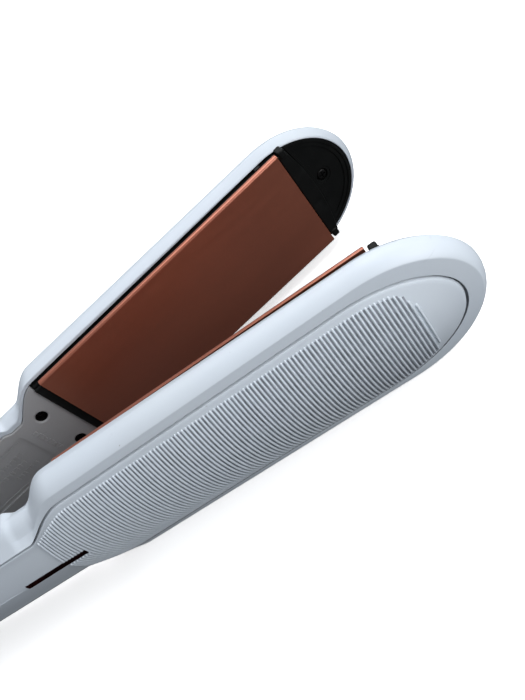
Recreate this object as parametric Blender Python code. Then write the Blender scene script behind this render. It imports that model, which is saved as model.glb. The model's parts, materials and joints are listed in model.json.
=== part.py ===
"""A wide-plate hair straightener, lying on its side with its arms open.

Two arms turn on one upright pin. Each arm is described by three distances:
  x      along the arm, from the hinge axis towards the tip
  width  across the arm, from its middle; this is up and down in the model
  depth  from the plane where the two plates meet, outwards through the arm
The main arm lies along +X with its depth towards -Y. The clamp arm is its mirror image, turned open
about the hinge axis. The origin is under the middle of the whole object, on the surface it lies on.
"""

import math

import bmesh
import bpy
from mathutils import Vector

MM = 0.001

# The arms and how they open
OPEN_ANGLE = math.radians(13.0)
HANDLE_LENGTH = 143.0 * MM
SHOULDER_LENGTH = 20.0 * MM
PLATE_LENGTH = 121.5 * MM
TIP_LENGTH = 26.5 * MM
MAIN_TAIL = 30.0 * MM
CLAMP_TAIL = 15.0 * MM
BARREL_HALF_WIDTH = 28.2 * MM
HANDLE_HALF_WIDTH = 20.0 * MM
ARM_DEPTH = 22.0 * MM

# The outer covers
WALL = 2.2 * MM
SKIN_SLOPE_SHARE = 0.8
RIM_LIP = 0.9 * MM
RIM_DEPTH = 4.0 * MM
SIDE_FLAT_START = 7.2 * MM
SIDE_FLAT_END = 9.2 * MM
CROWN_RISE = 6.4 * MM
HANDLE_CROWN_RISE = 4.0 * MM
CREASE_DROP = 1.2 * MM
RIM_INSET = 2.6 * MM
HANDLE_RIM_INSET = 0.6 * MM
HANDLE_LIP = 4.8 * MM
CREASE_INSET = 2.7 * MM
GROOVE_INSET = 6.2 * MM
TIP_GROOVE_INSET = 9.0 * MM
TAIL_GROOVE_INSET = 3.0 * MM
TAIL_CREASE_INSET = 1.0 * MM
TIP_ROUND_BACK = 5.5 * MM
TAIL_ROUND = 12.0 * MM
TIP_STEPS = 9
SHOULDER_STEPS = 8
TAIL_STEPS = 5
CROWN_STEPS = 3

# Clearances
GAP = 0.3 * MM
OVERLAP = 0.6 * MM

# The heating plates and what carries them
PLATE_SIDE_GAP = 0.3 * MM
PLATE_FACE_DEPTH = 0.15 * MM
PLATE_THICKNESS = 2.6 * MM
PLATE_EDGE_RADIUS = 1.7 * MM
PLATE_SHOULDER_GAP = 1.0 * MM
PLATE_FLOAT = 0.8 * MM
HEATER_HALF_WIDTH = 8.9 * MM
HEATER_THICKNESS = 1.8 * MM
HEATER_END_MARGIN = 16.0 * MM
RAIL_THICKNESS = 1.4 * MM
RAIL_HEIGHT = 3.2 * MM
CLIP_THICKNESS = 0.5 * MM
CLIP_RISE = 1.4 * MM
CLIP_HALF_WIDTH = 7.0 * MM
CLIP_WAVES = 3
CARRIER_FLOOR_START = 9.6 * MM
CARRIER_FLOOR_END = 11.2 * MM
CARRIER_WALL = 2.0 * MM
BAR_LENGTH = 3.7 * MM
BAR_FACE_DEPTH = 1.6 * MM
BAR_BACK_DEPTH = 9.0 * MM
BAR_SIDE_INSET = 2.1 * MM
LUG_FACE_DEPTH = 0.6 * MM
LUG_WIDTH = 3.4 * MM
CUSHION_LENGTH = 9.0 * MM
CUSHION_HALF_WIDTH = 12.5 * MM
SENSOR_RADIUS = 1.3 * MM
SENSOR_LENGTH = 9.0 * MM
SENSOR_WIDTH = 15.0 * MM

# The inner covers and their screws
COVER_FACE_DEPTH = 3.2 * MM
COVER_THICKNESS = 1.7 * MM
COVER_HINGE_GAP = 1.8 * MM
COVER_SCREW_BACK = 11.9 * MM
COVER_SCREW_HALF_SPACING = 10.7 * MM
RECESS_RADIUS = 2.5 * MM
RECESS_TUBE_RADIUS = 3.5 * MM
RECESS_FLOOR_DEPTH = 7.2 * MM
TUBE_END_DEPTH = 8.8 * MM
SCREW_HEAD_RADIUS = 2.1 * MM
SCREW_HEAD_HEIGHT = 1.5 * MM
SCREW_RADIUS = 1.0 * MM
SCREW_LENGTH = 7.0 * MM
SCREW_SLOT = 0.6 * MM
SCREW_SLOT_SHARE = 0.7
SCREW_FACE_SHARE = 0.75
SCREW_ROUND_SHARE = 0.4
BOSS_RADIUS = 3.2 * MM
PILOT_RADIUS = SCREW_RADIUS + GAP

# The tip caps
CAP_FACE_DEPTH = 5.2 * MM
CAP_BACK_DEPTH = 10.0 * MM
CAP_SCREW_BACK = 14.6 * MM
CAP_RECESS_FLOOR = 8.2 * MM
CAP_SCREW_LENGTH = 5.0 * MM

# The hinge
KNUCKLE_RADIUS = 11.0 * MM
HUB_RADIUS = 10.6 * MM
HUB_SHARE = 0.48
HUB_WEB_INSET = 2.4 * MM
SPRING_SPACE = 4.6 * MM
WASHER_SPACE = 1.6 * MM
PIN_RADIUS = 2.5 * MM
WASHER_RADIUS = 8.5 * MM
HINGE_CAP_RADIUS = 6.6 * MM
HINGE_CAP_RISE = 0.5 * MM
HINGE_CAP_THICKNESS = 1.3 * MM
SPRING_WIRE = 0.75 * MM
SPRING_RADIUS = 6.0 * MM
SPRING_TURNS = 4
SPRING_LEG = 26.0 * MM
SPRING_STEPS = 12
LEDGE_START = 20.0 * MM
LEDGE_LENGTH = 5.0 * MM
LEDGE_HALF_WIDTH = 5.0 * MM

# The controls in the main arm
BOARD_START = 50.0 * MM
BOARD_SHOULDER_GAP = 7.0 * MM
BOARD_HALF_WIDTH = 12.0 * MM
BOARD_DEPTH = 9.0 * MM
BOARD_THICKNESS = 1.6 * MM
POWER_BUTTON_X = 94.0 * MM
TEMPERATURE_UP_X = 78.0 * MM
TEMPERATURE_DOWN_X = 64.0 * MM
POWER_BUTTON_RADIUS = 5.0 * MM
BUTTON_RADIUS = 4.0 * MM
BUTTON_FACE_DEPTH = 2.3 * MM
BUTTON_FLANGE = 1.2 * MM
BUTTON_FLANGE_THICKNESS = 0.9 * MM
BUTTON_BACK_DEPTH = 7.9 * MM
SLOT_BACK = 16.0 * MM
SLOT_LENGTH = 27.5 * MM
SLOT_HALF_WIDTH = 1.3 * MM
LENS_RECESS = 0.9 * MM
LENS_FLANGE = 1.6 * MM
LENS_FLANGE_THICKNESS = 1.0 * MM
LIGHT_BAR_DEPTH = 13.6 * MM
LIGHT_BAR_THICKNESS = 3.6 * MM
LIGHT_BAR_HALF_WIDTH = 2.2 * MM

# The turning cord inlet and the wires inside
SWIVEL_DEPTH = 11.0 * MM
SWIVEL_NECK_RADIUS = 3.6 * MM
SWIVEL_BOSS_RADIUS = 5.8 * MM
SWIVEL_END_RADIUS = 4.6 * MM
SWIVEL_LENGTH = 14.0 * MM
SWIVEL_COLLAR_LENGTH = 4.2 * MM
SWIVEL_BORE_RADIUS = 2.3 * MM
SWIVEL_INSIDE = 8.0 * MM
RETAINER_RADIUS = 5.0 * MM
RETAINER_INSIDE = 5.7 * MM
RETAINER_THICKNESS = 1.4 * MM
LEAD_RADIUS = 1.2 * MM
SUPPLY_LEAD_RADIUS = 1.5 * MM
ROUND_STEPS = 32
SMALL_ROUND_STEPS = 20

# Places worked out from the sizes above
GROOVE_DEPTH = ARM_DEPTH - CROWN_RISE
HANDLE_GROOVE_DEPTH = ARM_DEPTH - HANDLE_CROWN_RISE
CREASE_DEPTH = GROOVE_DEPTH - CREASE_DROP
TIP_ROUND = TIP_LENGTH + TIP_ROUND_BACK
HUB_HALF_WIDTH = HUB_SHARE * HANDLE_HALF_WIDTH
KNUCKLE_START = HUB_HALF_WIDTH + WASHER_SPACE
KNUCKLE_END = HANDLE_HALF_WIDTH - GAP
HINGE_CAP_END = KNUCKLE_END + HINGE_CAP_RISE
HINGE_CAP_START = HINGE_CAP_END - HINGE_CAP_THICKNESS
PIN_HALF_LENGTH = HINGE_CAP_START - 2 * GAP
SKIN_SLOPE = SKIN_SLOPE_SHARE * WALL
PLATE_HALF_WIDTH = BARREL_HALF_WIDTH - RIM_INSET - RIM_LIP - PLATE_SIDE_GAP
BAR_HALF_WIDTH = PLATE_HALF_WIDTH - BAR_SIDE_INSET
TRAY_HALF_WIDTH = BARREL_HALF_WIDTH - CREASE_INSET - SKIN_SLOPE - GAP
BOARD_END = HANDLE_LENGTH - BOARD_SHOULDER_GAP
SHOULDER_END = HANDLE_LENGTH + SHOULDER_LENGTH
PLATE_START = SHOULDER_END + PLATE_SHOULDER_GAP
PLATE_END = PLATE_START + PLATE_LENGTH
TIP = PLATE_END + TIP_LENGTH
BAR_GAP = 0.4 * MM
HINGE_BAR_START = PLATE_START - BAR_GAP - BAR_LENGTH
COVER_FRONT = HINGE_BAR_START - GAP
COVER_SCREW_X = PLATE_START - BAR_GAP - COVER_SCREW_BACK
COVER_REAR = KNUCKLE_RADIUS + COVER_HINGE_GAP
TIP_BAR_END = PLATE_END + BAR_GAP + BAR_LENGTH
CAP_START = TIP_BAR_END + GAP
CAP_SCREW_X = TIP - CAP_SCREW_BACK
SLOT_START = HANDLE_LENGTH - SLOT_BACK
SLOT_END = SLOT_START + SLOT_LENGTH
INNER_CROWN_DEPTH = ARM_DEPTH - WALL

SIDES = {"main": -1, "clamp": 1}
TAILS = {"main": MAIN_TAIL, "clamp": CLAMP_TAIL}
SENSORS = {"main": "main_thermistor", "clamp": "clamp_thermal_fuse"}
FRAMES = {}


# Materials


def finish(name, colour, roughness, metallic=0.0):
    """A plain Principled material."""
    made = bpy.data.materials.new(name)
    made.use_nodes = True
    shader = made.node_tree.nodes["Principled BSDF"]
    shader.inputs["Base Color"].default_value = (*colour, 1.0)
    shader.inputs["Roughness"].default_value = roughness
    shader.inputs["Metallic"].default_value = metallic
    return made


def make_finishes():
    """Every material of the object, by name."""
    return {
        "white_shell": finish("white_shell", (0.72, 0.77, 0.82), 0.45),
        "inner_white": finish("inner_white", (0.66, 0.70, 0.74), 0.5),
        "black_nylon": finish("black_nylon", (0.012, 0.012, 0.014), 0.4),
        "copper_plate": finish("copper_plate", (0.48, 0.23, 0.17), 0.32, 0.85),
        "ceramic": finish("ceramic", (0.82, 0.80, 0.74), 0.6),
        "spring_steel": finish("spring_steel", (0.55, 0.55, 0.56), 0.35, 1.0),
        "silicone": finish("silicone", (0.45, 0.16, 0.12), 0.7),
        "dark_screw": finish("dark_screw", (0.05, 0.05, 0.055), 0.4, 0.9),
        "circuit_green": finish("circuit_green", (0.03, 0.16, 0.08), 0.5),
        "smoked_red": finish("smoked_red", (0.06, 0.004, 0.008), 0.15),
        "light_bar": finish("light_bar", (0.75, 0.12, 0.10), 0.4),
        "button_grey": finish("button_grey", (0.35, 0.37, 0.40), 0.5),
        "hinge_grey": finish("hinge_grey", (0.50, 0.53, 0.57), 0.4),
        "lead_sleeve": finish("lead_sleeve", (0.70, 0.68, 0.62), 0.7),
    }


# Shapes


def at(side, x, width, depth):
    """A point of an arm in its own frame."""
    return Vector((x, side * depth, width))


def add_frame(name, parent, location=(0, 0, 0), turn=0.0):
    """An empty that carries the pieces of one arm, or of one joint."""
    empty = bpy.data.objects.new(name, None)
    bpy.context.scene.collection.objects.link(empty)
    empty.location = location
    empty.rotation_euler = (0, 0, turn)
    empty.parent = parent
    FRAMES[name] = empty
    return empty


def add_object(name, frame, mesh_maker, material, origin=(0, 0, 0)):
    """One closed piece, with its normals outwards and its origin where its joint is."""
    bmesh.ops.remove_doubles(mesh_maker, verts=mesh_maker.verts, dist=1e-7)
    bmesh.ops.translate(mesh_maker, verts=mesh_maker.verts, vec=-Vector(origin))
    bmesh.ops.recalc_face_normals(mesh_maker, faces=mesh_maker.faces)
    mesh = bpy.data.meshes.new(name)
    mesh_maker.to_mesh(mesh)
    mesh_maker.free()
    if material:
        mesh.materials.append(material)
    made = bpy.data.objects.new(name, mesh)
    bpy.context.scene.collection.objects.link(made)
    made.parent = FRAMES[frame]
    made.location = origin
    return made


def shape_with(obj, operation, tool_maker, name):
    """Joins a tool shape to a piece, or cuts it away. The tool itself is only a helper."""
    tool = add_object(f"{obj.name}_{name}", obj.parent.name, tool_maker, None)
    tool.hide_render = True
    tool.display_type = "WIRE"
    modifier = obj.modifiers.new(name, "BOOLEAN")
    modifier.operation = operation
    modifier.object = tool


def cut(obj, tool_maker, name):
    """Cuts a tool shape out of a piece."""
    shape_with(obj, "DIFFERENCE", tool_maker, name)


def join(obj, tool_maker, name):
    """Grows a piece by a tool shape."""
    shape_with(obj, "UNION", tool_maker, name)


def smooth(obj, angle=35.0):
    """Smooth shading, with the edges sharper than the angle kept."""
    obj.data.shade_smooth()
    obj.data.set_sharp_from_angle(angle=math.radians(angle))


def prism(outline, move):
    """A closed solid from a flat outline and the vector that it is extruded along."""
    bm = bmesh.new()
    face = bm.faces.new([bm.verts.new(point) for point in outline])
    grown = bmesh.ops.extrude_face_region(bm, geom=[face])
    moved = [v for v in grown["geom"] if isinstance(v, bmesh.types.BMVert)]
    bmesh.ops.translate(bm, verts=moved, vec=move)
    return bm


def box(side, xs, widths, depths):
    """A block between pairs of x, width and depth."""
    corners = [
        at(side, xs[0], widths[0], depths[0]),
        at(side, xs[1], widths[0], depths[0]),
        at(side, xs[1], widths[1], depths[0]),
        at(side, xs[0], widths[1], depths[0]),
    ]
    return prism(corners, at(side, 0, 0, depths[1] - depths[0]))


def circle_points(radius, steps):
    """Points round a circle, as pairs."""
    angles = [2 * math.pi * (k + 0.5) / steps for k in range(steps)]
    return [(radius * math.cos(a), radius * math.sin(a)) for a in angles]


def depth_cylinder(side, x, width, radius, depths, steps=SMALL_ROUND_STEPS):
    """A round bar along the depth."""
    outline = [at(side, x + a, width + b, depths[0]) for a, b in circle_points(radius, steps)]
    return prism(outline, at(side, 0, 0, depths[1] - depths[0]))


def width_cylinder(radius, widths, steps=ROUND_STEPS):
    """A round bar on the hinge axis."""
    outline = [Vector((a, b, widths[0])) for a, b in circle_points(radius, steps)]
    return prism(outline, Vector((0, 0, widths[1] - widths[0])))


def turned(profile, steps, place):
    """A closed ring from a closed profile of (along, radius), turned by the rule `place`."""
    bm = bmesh.new()
    rings = []
    for k in range(steps):
        angle = 2 * math.pi * k / steps
        rings.append([bm.verts.new(place(along, radius, angle)) for along, radius in profile])
    count = len(profile)
    for k in range(steps):
        ring, following = rings[k], rings[(k + 1) % steps]
        for n in range(count):
            m = (n + 1) % count
            bm.faces.new((ring[n], ring[m], following[m], following[n]))
    return bm


def along_hinge(along, radius, angle):
    """Turns a profile about the hinge axis."""
    return Vector((radius * math.cos(angle), radius * math.sin(angle), along))


def along_swivel(along, radius, angle):
    """Turns a profile about the axis of the cord inlet, which runs along the main arm."""
    turn_depth = SWIVEL_DEPTH + radius * math.sin(angle)
    return at(SIDES["main"], along, radius * math.cos(angle), turn_depth)


def tube(name, frame, points, radius, material):
    """A round wire with filled ends through a list of points."""
    curve = bpy.data.curves.new(name, "CURVE")
    curve.dimensions = "3D"
    curve.bevel_depth = radius
    curve.bevel_resolution = 2
    curve.use_fill_caps = True
    spline = curve.splines.new("POLY")
    spline.points.add(len(points) - 1)
    for point, place in zip(spline.points, points):
        point.co = (*place, 1.0)
    curve.materials.append(material)
    made = bpy.data.objects.new(name, curve)
    bpy.context.scene.collection.objects.link(made)
    made.parent = FRAMES[frame]
    return made


def eased(points, steps=5):
    """A smooth line through a list of points."""
    ends = [points[0] * 2 - points[1], *points, points[-1] * 2 - points[-2]]
    line = []
    for k in range(1, len(ends) - 2):
        a, b, c, d = ends[k - 1 : k + 3]
        for n in range(steps):
            t = n / steps
            square = (2 * a - 5 * b + 4 * c - d) * t**2
            cube = (3 * b - a - 3 * c + d) * t**3
            line.append(0.5 * (2 * b + (c - a) * t + square + cube))
    return [*line, points[-1]]


# The outline of an arm


def shoulder_share(x):
    """0 in the handle, 1 in the barrel, with an S-curve over the shoulder."""
    t = min(max((x - HANDLE_LENGTH) / SHOULDER_LENGTH, 0.0), 1.0)
    return t * t * (3 - 2 * t)


def contour(tail, side_inset, handle_inset, tip_inset, tail_inset, depth, handle_depth):
    """A closed line round an arm, as (x, width, depth), in steps that match those of every other contour."""
    barrel = BARREL_HALF_WIDTH - side_inset
    handle = HANDLE_HALF_WIDTH - handle_inset
    tip_centre = TIP - TIP_ROUND
    tip_reach = TIP_ROUND - tip_inset
    tail_centre = TAIL_ROUND - tail
    tail_reach = TAIL_ROUND - tail_inset
    line = []
    for k in range(TIP_STEPS + 1):
        angle = 0.5 * math.pi * k / TIP_STEPS
        line.append((tip_centre + tip_reach * math.cos(angle), barrel * math.sin(angle), depth))
    for k in range(SHOULDER_STEPS + 1):
        x = SHOULDER_END - SHOULDER_LENGTH * k / SHOULDER_STEPS
        share = shoulder_share(x)
        width = handle + (barrel - handle) * share
        line.append((x, width, handle_depth + (depth - handle_depth) * share))
    for k in range(TAIL_STEPS + 1):
        angle = 0.5 * math.pi * (1 - k / TAIL_STEPS)
        line.append((tail_centre - tail_reach * math.cos(angle), handle * math.sin(angle), handle_depth))
    mirrored = [(x, -width, deep) for x, width, deep in line[-2:0:-1]]
    return line + mirrored


def crown_rows(edge, tail, edge_depth_of, top):
    """The rows from a contour up to the ridge along the middle of the arm."""
    first = TAIL_ROUND - tail
    last = TIP - TIP_ROUND
    rows = []
    for k in range(1, CROWN_STEPS + 1):
        share = 1 - k / CROWN_STEPS
        row = []
        for x, width, depth in edge:
            middle = min(max(x, first), last)
            row.append((middle + (x - middle) * share, width * share, top - (top - depth) * share**2))
        rows.append(row)
    return rows


def outer_rows(tail):
    """The outer skin of a cover, from its rim to its ridge."""
    rim = contour(tail, RIM_INSET, HANDLE_RIM_INSET, RIM_INSET, HANDLE_RIM_INSET, RIM_DEPTH, RIM_DEPTH)
    low = contour(tail, 0, 0, 0, 0, SIDE_FLAT_START, SIDE_FLAT_START)
    high = contour(tail, 0, 0, 0, 0, SIDE_FLAT_END, SIDE_FLAT_END)
    crease = contour(
        tail, CREASE_INSET, CREASE_INSET, CREASE_INSET, TAIL_CREASE_INSET, CREASE_DEPTH, CREASE_DEPTH
    )
    groove = contour(
        tail,
        GROOVE_INSET,
        GROOVE_INSET,
        TIP_GROOVE_INSET,
        TAIL_GROOVE_INSET,
        GROOVE_DEPTH,
        HANDLE_GROOVE_DEPTH,
    )
    return [rim, low, high, crease, groove, *crown_rows(groove, tail, GROOVE_DEPTH, ARM_DEPTH)]


def inner_rows(tail):
    """The inner skin of a cover, a wall's thickness inside the outer one."""
    lip = RIM_INSET + RIM_LIP
    rim = contour(tail, lip, HANDLE_RIM_INSET + HANDLE_LIP, lip, WALL, RIM_DEPTH, RIM_DEPTH)
    low = contour(tail, WALL, WALL, WALL, WALL, SIDE_FLAT_START, SIDE_FLAT_START)
    high = contour(tail, WALL, WALL, WALL, WALL, SIDE_FLAT_END, SIDE_FLAT_END)
    crease = contour(
        tail,
        CREASE_INSET + SKIN_SLOPE,
        CREASE_INSET + SKIN_SLOPE,
        CREASE_INSET + SKIN_SLOPE,
        TAIL_CREASE_INSET + SKIN_SLOPE,
        CREASE_DEPTH - SKIN_SLOPE,
        CREASE_DEPTH - SKIN_SLOPE,
    )
    groove = contour(
        tail,
        GROOVE_INSET + SKIN_SLOPE,
        GROOVE_INSET + SKIN_SLOPE,
        TIP_GROOVE_INSET + SKIN_SLOPE,
        TAIL_GROOVE_INSET + SKIN_SLOPE,
        GROOVE_DEPTH - SKIN_SLOPE,
        HANDLE_GROOVE_DEPTH - WALL,
    )
    return [rim, low, high, crease, groove, *crown_rows(groove, tail, GROOVE_DEPTH, INNER_CROWN_DEPTH)]


def shell(side, tail):
    """The closed solid between the outer and the inner skin, joined at the rim."""
    bm = bmesh.new()
    places = {}

    def vertex(point):
        key = tuple(round(value, 7) for value in point)
        if key not in places:
            places[key] = bm.verts.new(at(side, *point))
        return places[key]

    rows = [*reversed(outer_rows(tail)), *inner_rows(tail)]
    count = len(rows[0])
    for row, following in zip(rows, rows[1:]):
        for n in range(count):
            m = (n + 1) % count
            corners = []
            for point in (row[n], row[m], following[m], following[n]):
                corner = vertex(point)
                if corner not in corners:
                    corners.append(corner)
            if len(corners) > 2:
                bm.faces.new(corners)
    return bm


def rim_half_width(x):
    """Half the width of the opening inside the rim of a cover, over the handle, shoulder and barrel."""
    handle = HANDLE_HALF_WIDTH - HANDLE_RIM_INSET - HANDLE_LIP
    barrel = BARREL_HALF_WIDTH - RIM_INSET - RIM_LIP
    return handle + (barrel - handle) * shoulder_share(x)


def ring_of(xs, side, depth, margin):
    """The outline of a lid that fits inside the rim, through the given x."""
    line = [(x, rim_half_width(x) - margin) for x in xs]
    there = [at(side, x, width, depth) for x, width in line]
    back = [at(side, x, -width, depth) for x, width in reversed(line)]
    return there + back


# The pieces of an arm


def make_outer_cover(arm, looks):
    """The long shell of one arm, with its screw bosses, spring ledge and half of the hinge."""
    side = SIDES[arm]
    cover = add_object(f"{arm}_outer_cover", arm, shell(side, TAILS[arm]), looks["white_shell"])
    root_depth = INNER_CROWN_DEPTH + OVERLAP
    for name, sign in (("upper", 1), ("lower", -1)):
        width = sign * COVER_SCREW_HALF_SPACING
        start = TUBE_END_DEPTH + GAP
        boss = depth_cylinder(side, COVER_SCREW_X, width, BOSS_RADIUS, (start, HANDLE_GROOVE_DEPTH))
        join(cover, boss, f"boss_{name}")
        hole = (start - OVERLAP, RECESS_FLOOR_DEPTH + SCREW_LENGTH + GAP)
        cut(cover, depth_cylinder(side, COVER_SCREW_X, width, PILOT_RADIUS, hole), f"pilot_{name}")
    cap_boss_start = CAP_BACK_DEPTH + GAP
    cap_boss = depth_cylinder(side, CAP_SCREW_X, 0, BOSS_RADIUS, (cap_boss_start, GROOVE_DEPTH - OVERLAP))
    join(cover, cap_boss, "tip_boss")
    tip_hole = (cap_boss_start - OVERLAP, CAP_RECESS_FLOOR + CAP_SCREW_LENGTH + GAP)
    cut(cover, depth_cylinder(side, CAP_SCREW_X, 0, PILOT_RADIUS, tip_hole), "tip_pilot")
    ledge_xs = (LEDGE_START, LEDGE_START + LEDGE_LENGTH)
    ledge_depths = (SPRING_RADIUS + SPRING_WIRE + GAP, root_depth)
    ledge = box(side, ledge_xs, (-LEDGE_HALF_WIDTH, LEDGE_HALF_WIDTH), ledge_depths)
    join(cover, ledge, "spring_ledge")
    if arm == "main":
        add_knuckles(cover, side)
        slot_depths = (INNER_CROWN_DEPTH - WALL, ARM_DEPTH + WALL)
        cut(cover, slot_shape(side, SLOT_HALF_WIDTH, slot_depths), "slot")
        cut(cover, inlet_hole(), "inlet")
    else:
        add_hub(cover, side, root_depth)
    smooth(cover)


def add_knuckles(cover, side):
    """The two outer hinge eyes, each on a web that grows from the crown of the main cover."""
    for name, sign in (("upper", 1), ("lower", -1)):
        widths = (sign * KNUCKLE_START, sign * KNUCKLE_END)
        web_widths = (sign * (KNUCKLE_START + GAP), sign * (HANDLE_HALF_WIDTH - GROOVE_INSET))
        reach = KNUCKLE_RADIUS - OVERLAP
        join(cover, width_cylinder(KNUCKLE_RADIUS, widths), f"eye_{name}")
        web = box(side, (-reach, reach), web_widths, (0, HANDLE_GROOVE_DEPTH - OVERLAP))
        join(cover, web, f"web_{name}")
        bore = (sign * (KNUCKLE_START - OVERLAP), sign * (KNUCKLE_END + OVERLAP))
        cut(cover, width_cylinder(PIN_RADIUS + GAP, bore), f"bore_{name}")
        seat = (sign * (HINGE_CAP_START - GAP), sign * (HINGE_CAP_END + OVERLAP))
        cut(cover, width_cylinder(HINGE_CAP_RADIUS + GAP, seat), f"cap_seat_{name}")


def add_hub(cover, side, root_depth):
    """The middle hinge eyes of the clamp cover, with room between them for the spring."""
    for name, sign in (("upper", 1), ("lower", -1)):
        clear = (sign * (KNUCKLE_START - GAP), sign * (BARREL_HALF_WIDTH + OVERLAP))
        cut(cover, width_cylinder(KNUCKLE_RADIUS + 2 * GAP, clear), f"eye_room_{name}")
        widths = (sign * SPRING_SPACE, sign * HUB_HALF_WIDTH)
        reach = HUB_RADIUS - HUB_WEB_INSET
        join(cover, width_cylinder(HUB_RADIUS, widths), f"eye_{name}")
        web_widths = (sign * (SPRING_SPACE + GAP), sign * (HUB_HALF_WIDTH - GAP))
        join(cover, box(side, (-reach, reach), web_widths, (0, root_depth)), f"web_{name}")
        bore = (sign * (SPRING_SPACE - OVERLAP), sign * (HUB_HALF_WIDTH + OVERLAP))
        cut(cover, width_cylinder(PIN_RADIUS + GAP, bore), f"bore_{name}")


def inlet_hole():
    """The round hole at the end of the main arm for the neck of the cord inlet."""
    start = -MAIN_TAIL - OVERLAP
    outline = []
    for k in range(ROUND_STEPS):
        angle = 2 * math.pi * k / ROUND_STEPS
        outline.append(along_swivel(start, SWIVEL_NECK_RADIUS + GAP, angle))
    return prism(outline, Vector((3 * WALL, 0, 0)))


def slot_shape(side, half_width, depths, grow=0.0):
    """A long slot with round ends in the crown of the main arm."""
    reach = half_width + grow
    steps = SMALL_ROUND_STEPS // 2
    outline = []
    for centre, turn in ((SLOT_END - half_width, -0.5 * math.pi), (SLOT_START + half_width, 0.5 * math.pi)):
        for k in range(steps + 1):
            angle = turn + math.pi * k / steps
            outline.append(at(side, centre + reach * math.cos(angle), reach * math.sin(angle), depths[0]))
    return prism(outline, at(side, 0, 0, depths[1] - depths[0]))


def make_inner_cover(arm, looks):
    """The flat lid over the inside of the handle and shoulder, with two screw recesses."""
    side = SIDES[arm]
    steps = [SHOULDER_END - SHOULDER_LENGTH * k / SHOULDER_STEPS for k in range(SHOULDER_STEPS + 1)]
    xs = [COVER_FRONT, *[x for x in steps if x < COVER_FRONT], COVER_REAR]
    outline = ring_of(xs, side, COVER_FACE_DEPTH, GAP)
    lid = prism(outline, at(side, 0, 0, COVER_THICKNESS))
    cover = add_object(f"{arm}_inner_cover", arm, lid, looks["inner_white"])
    back = COVER_FACE_DEPTH + COVER_THICKNESS
    for name, sign in (("upper", 1), ("lower", -1)):
        width = sign * COVER_SCREW_HALF_SPACING
        tube_depths = (back - OVERLAP, TUBE_END_DEPTH)
        guide = depth_cylinder(side, COVER_SCREW_X, width, RECESS_TUBE_RADIUS, tube_depths)
        join(cover, guide, f"tube_{name}")
        recess = (COVER_FACE_DEPTH - OVERLAP, RECESS_FLOOR_DEPTH)
        cut(cover, depth_cylinder(side, COVER_SCREW_X, width, RECESS_RADIUS, recess), f"recess_{name}")
        hole = (RECESS_FLOOR_DEPTH - OVERLAP, TUBE_END_DEPTH + OVERLAP)
        cut(cover, depth_cylinder(side, COVER_SCREW_X, width, PILOT_RADIUS, hole), f"hole_{name}")
    if arm == "main":
        for name, x, radius in button_places():
            through = (COVER_FACE_DEPTH - OVERLAP, back + OVERLAP)
            cut(cover, depth_cylinder(side, x, 0, radius + GAP, through, ROUND_STEPS), f"{name}_hole")


def make_rear_cover(looks):
    """The short lid behind the hinge of the main arm."""
    side = SIDES["main"]
    rear = GAP + WALL - MAIN_TAIL
    centre = TAIL_ROUND - MAIN_TAIL
    reach = centre - rear
    half = rim_half_width(0) - GAP
    line = [(-COVER_REAR, half)]
    for k in range(TAIL_STEPS):
        angle = 0.5 * math.pi * k / TAIL_STEPS
        line.append((centre - reach * math.sin(angle), half * math.cos(angle)))
    outline = [at(side, x, width, COVER_FACE_DEPTH) for x, width in line]
    outline.append(at(side, rear, 0, COVER_FACE_DEPTH))
    outline += [at(side, x, -width, COVER_FACE_DEPTH) for x, width in reversed(line)]
    add_object("main_rear_cover", "main", prism(outline, at(side, 0, 0, COVER_THICKNESS)), looks["inner_white"])


def screw(side, x, width, head_depth, length):
    """A pan-head screw seen from the inner side of an arm, with a slot in its head."""
    profile = [
        (head_depth, 0.0),
        (head_depth, SCREW_FACE_SHARE * SCREW_HEAD_RADIUS),
        (head_depth + SCREW_ROUND_SHARE * SCREW_HEAD_HEIGHT, SCREW_HEAD_RADIUS),
        (head_depth + SCREW_HEAD_HEIGHT, SCREW_HEAD_RADIUS),
        (head_depth + SCREW_HEAD_HEIGHT, SCREW_RADIUS),
        (head_depth + SCREW_HEAD_HEIGHT + length - SCREW_RADIUS, SCREW_RADIUS),
        (head_depth + SCREW_HEAD_HEIGHT + length, 0.0),
    ]
    bm = bmesh.new()
    rings = []
    for depth, radius in profile:
        if radius:
            edge = circle_points(radius, SMALL_ROUND_STEPS)
            ring = [bm.verts.new(at(side, x + a, width + b, depth)) for a, b in edge]
        else:
            ring = [bm.verts.new(at(side, x, width, depth))]
        rings.append(ring)
    for ring, following in zip(rings, rings[1:]):
        for n in range(SMALL_ROUND_STEPS):
            m = (n + 1) % SMALL_ROUND_STEPS
            near = [ring[n % len(ring)], ring[m % len(ring)]]
            far = [following[m % len(following)], following[n % len(following)]]
            bm.faces.new(list(dict.fromkeys(near + far)))
    return bm


def make_screw(name, arm, x, width, floor_depth, length, looks):
    """One screw, with its head on the floor of its recess."""
    side = SIDES[arm]
    head = floor_depth - GAP - SCREW_HEAD_HEIGHT
    made = add_object(name, arm, screw(side, x, width, head, length - GAP), looks["dark_screw"])
    half = SCREW_SLOT_SHARE * SCREW_HEAD_RADIUS
    slot = SCREW_SLOT / 2
    depths = (head - OVERLAP, head + SCREW_SLOT)
    cut(made, box(side, (x - half, x + half), (width - slot, width + slot), depths), "slot")


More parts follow.
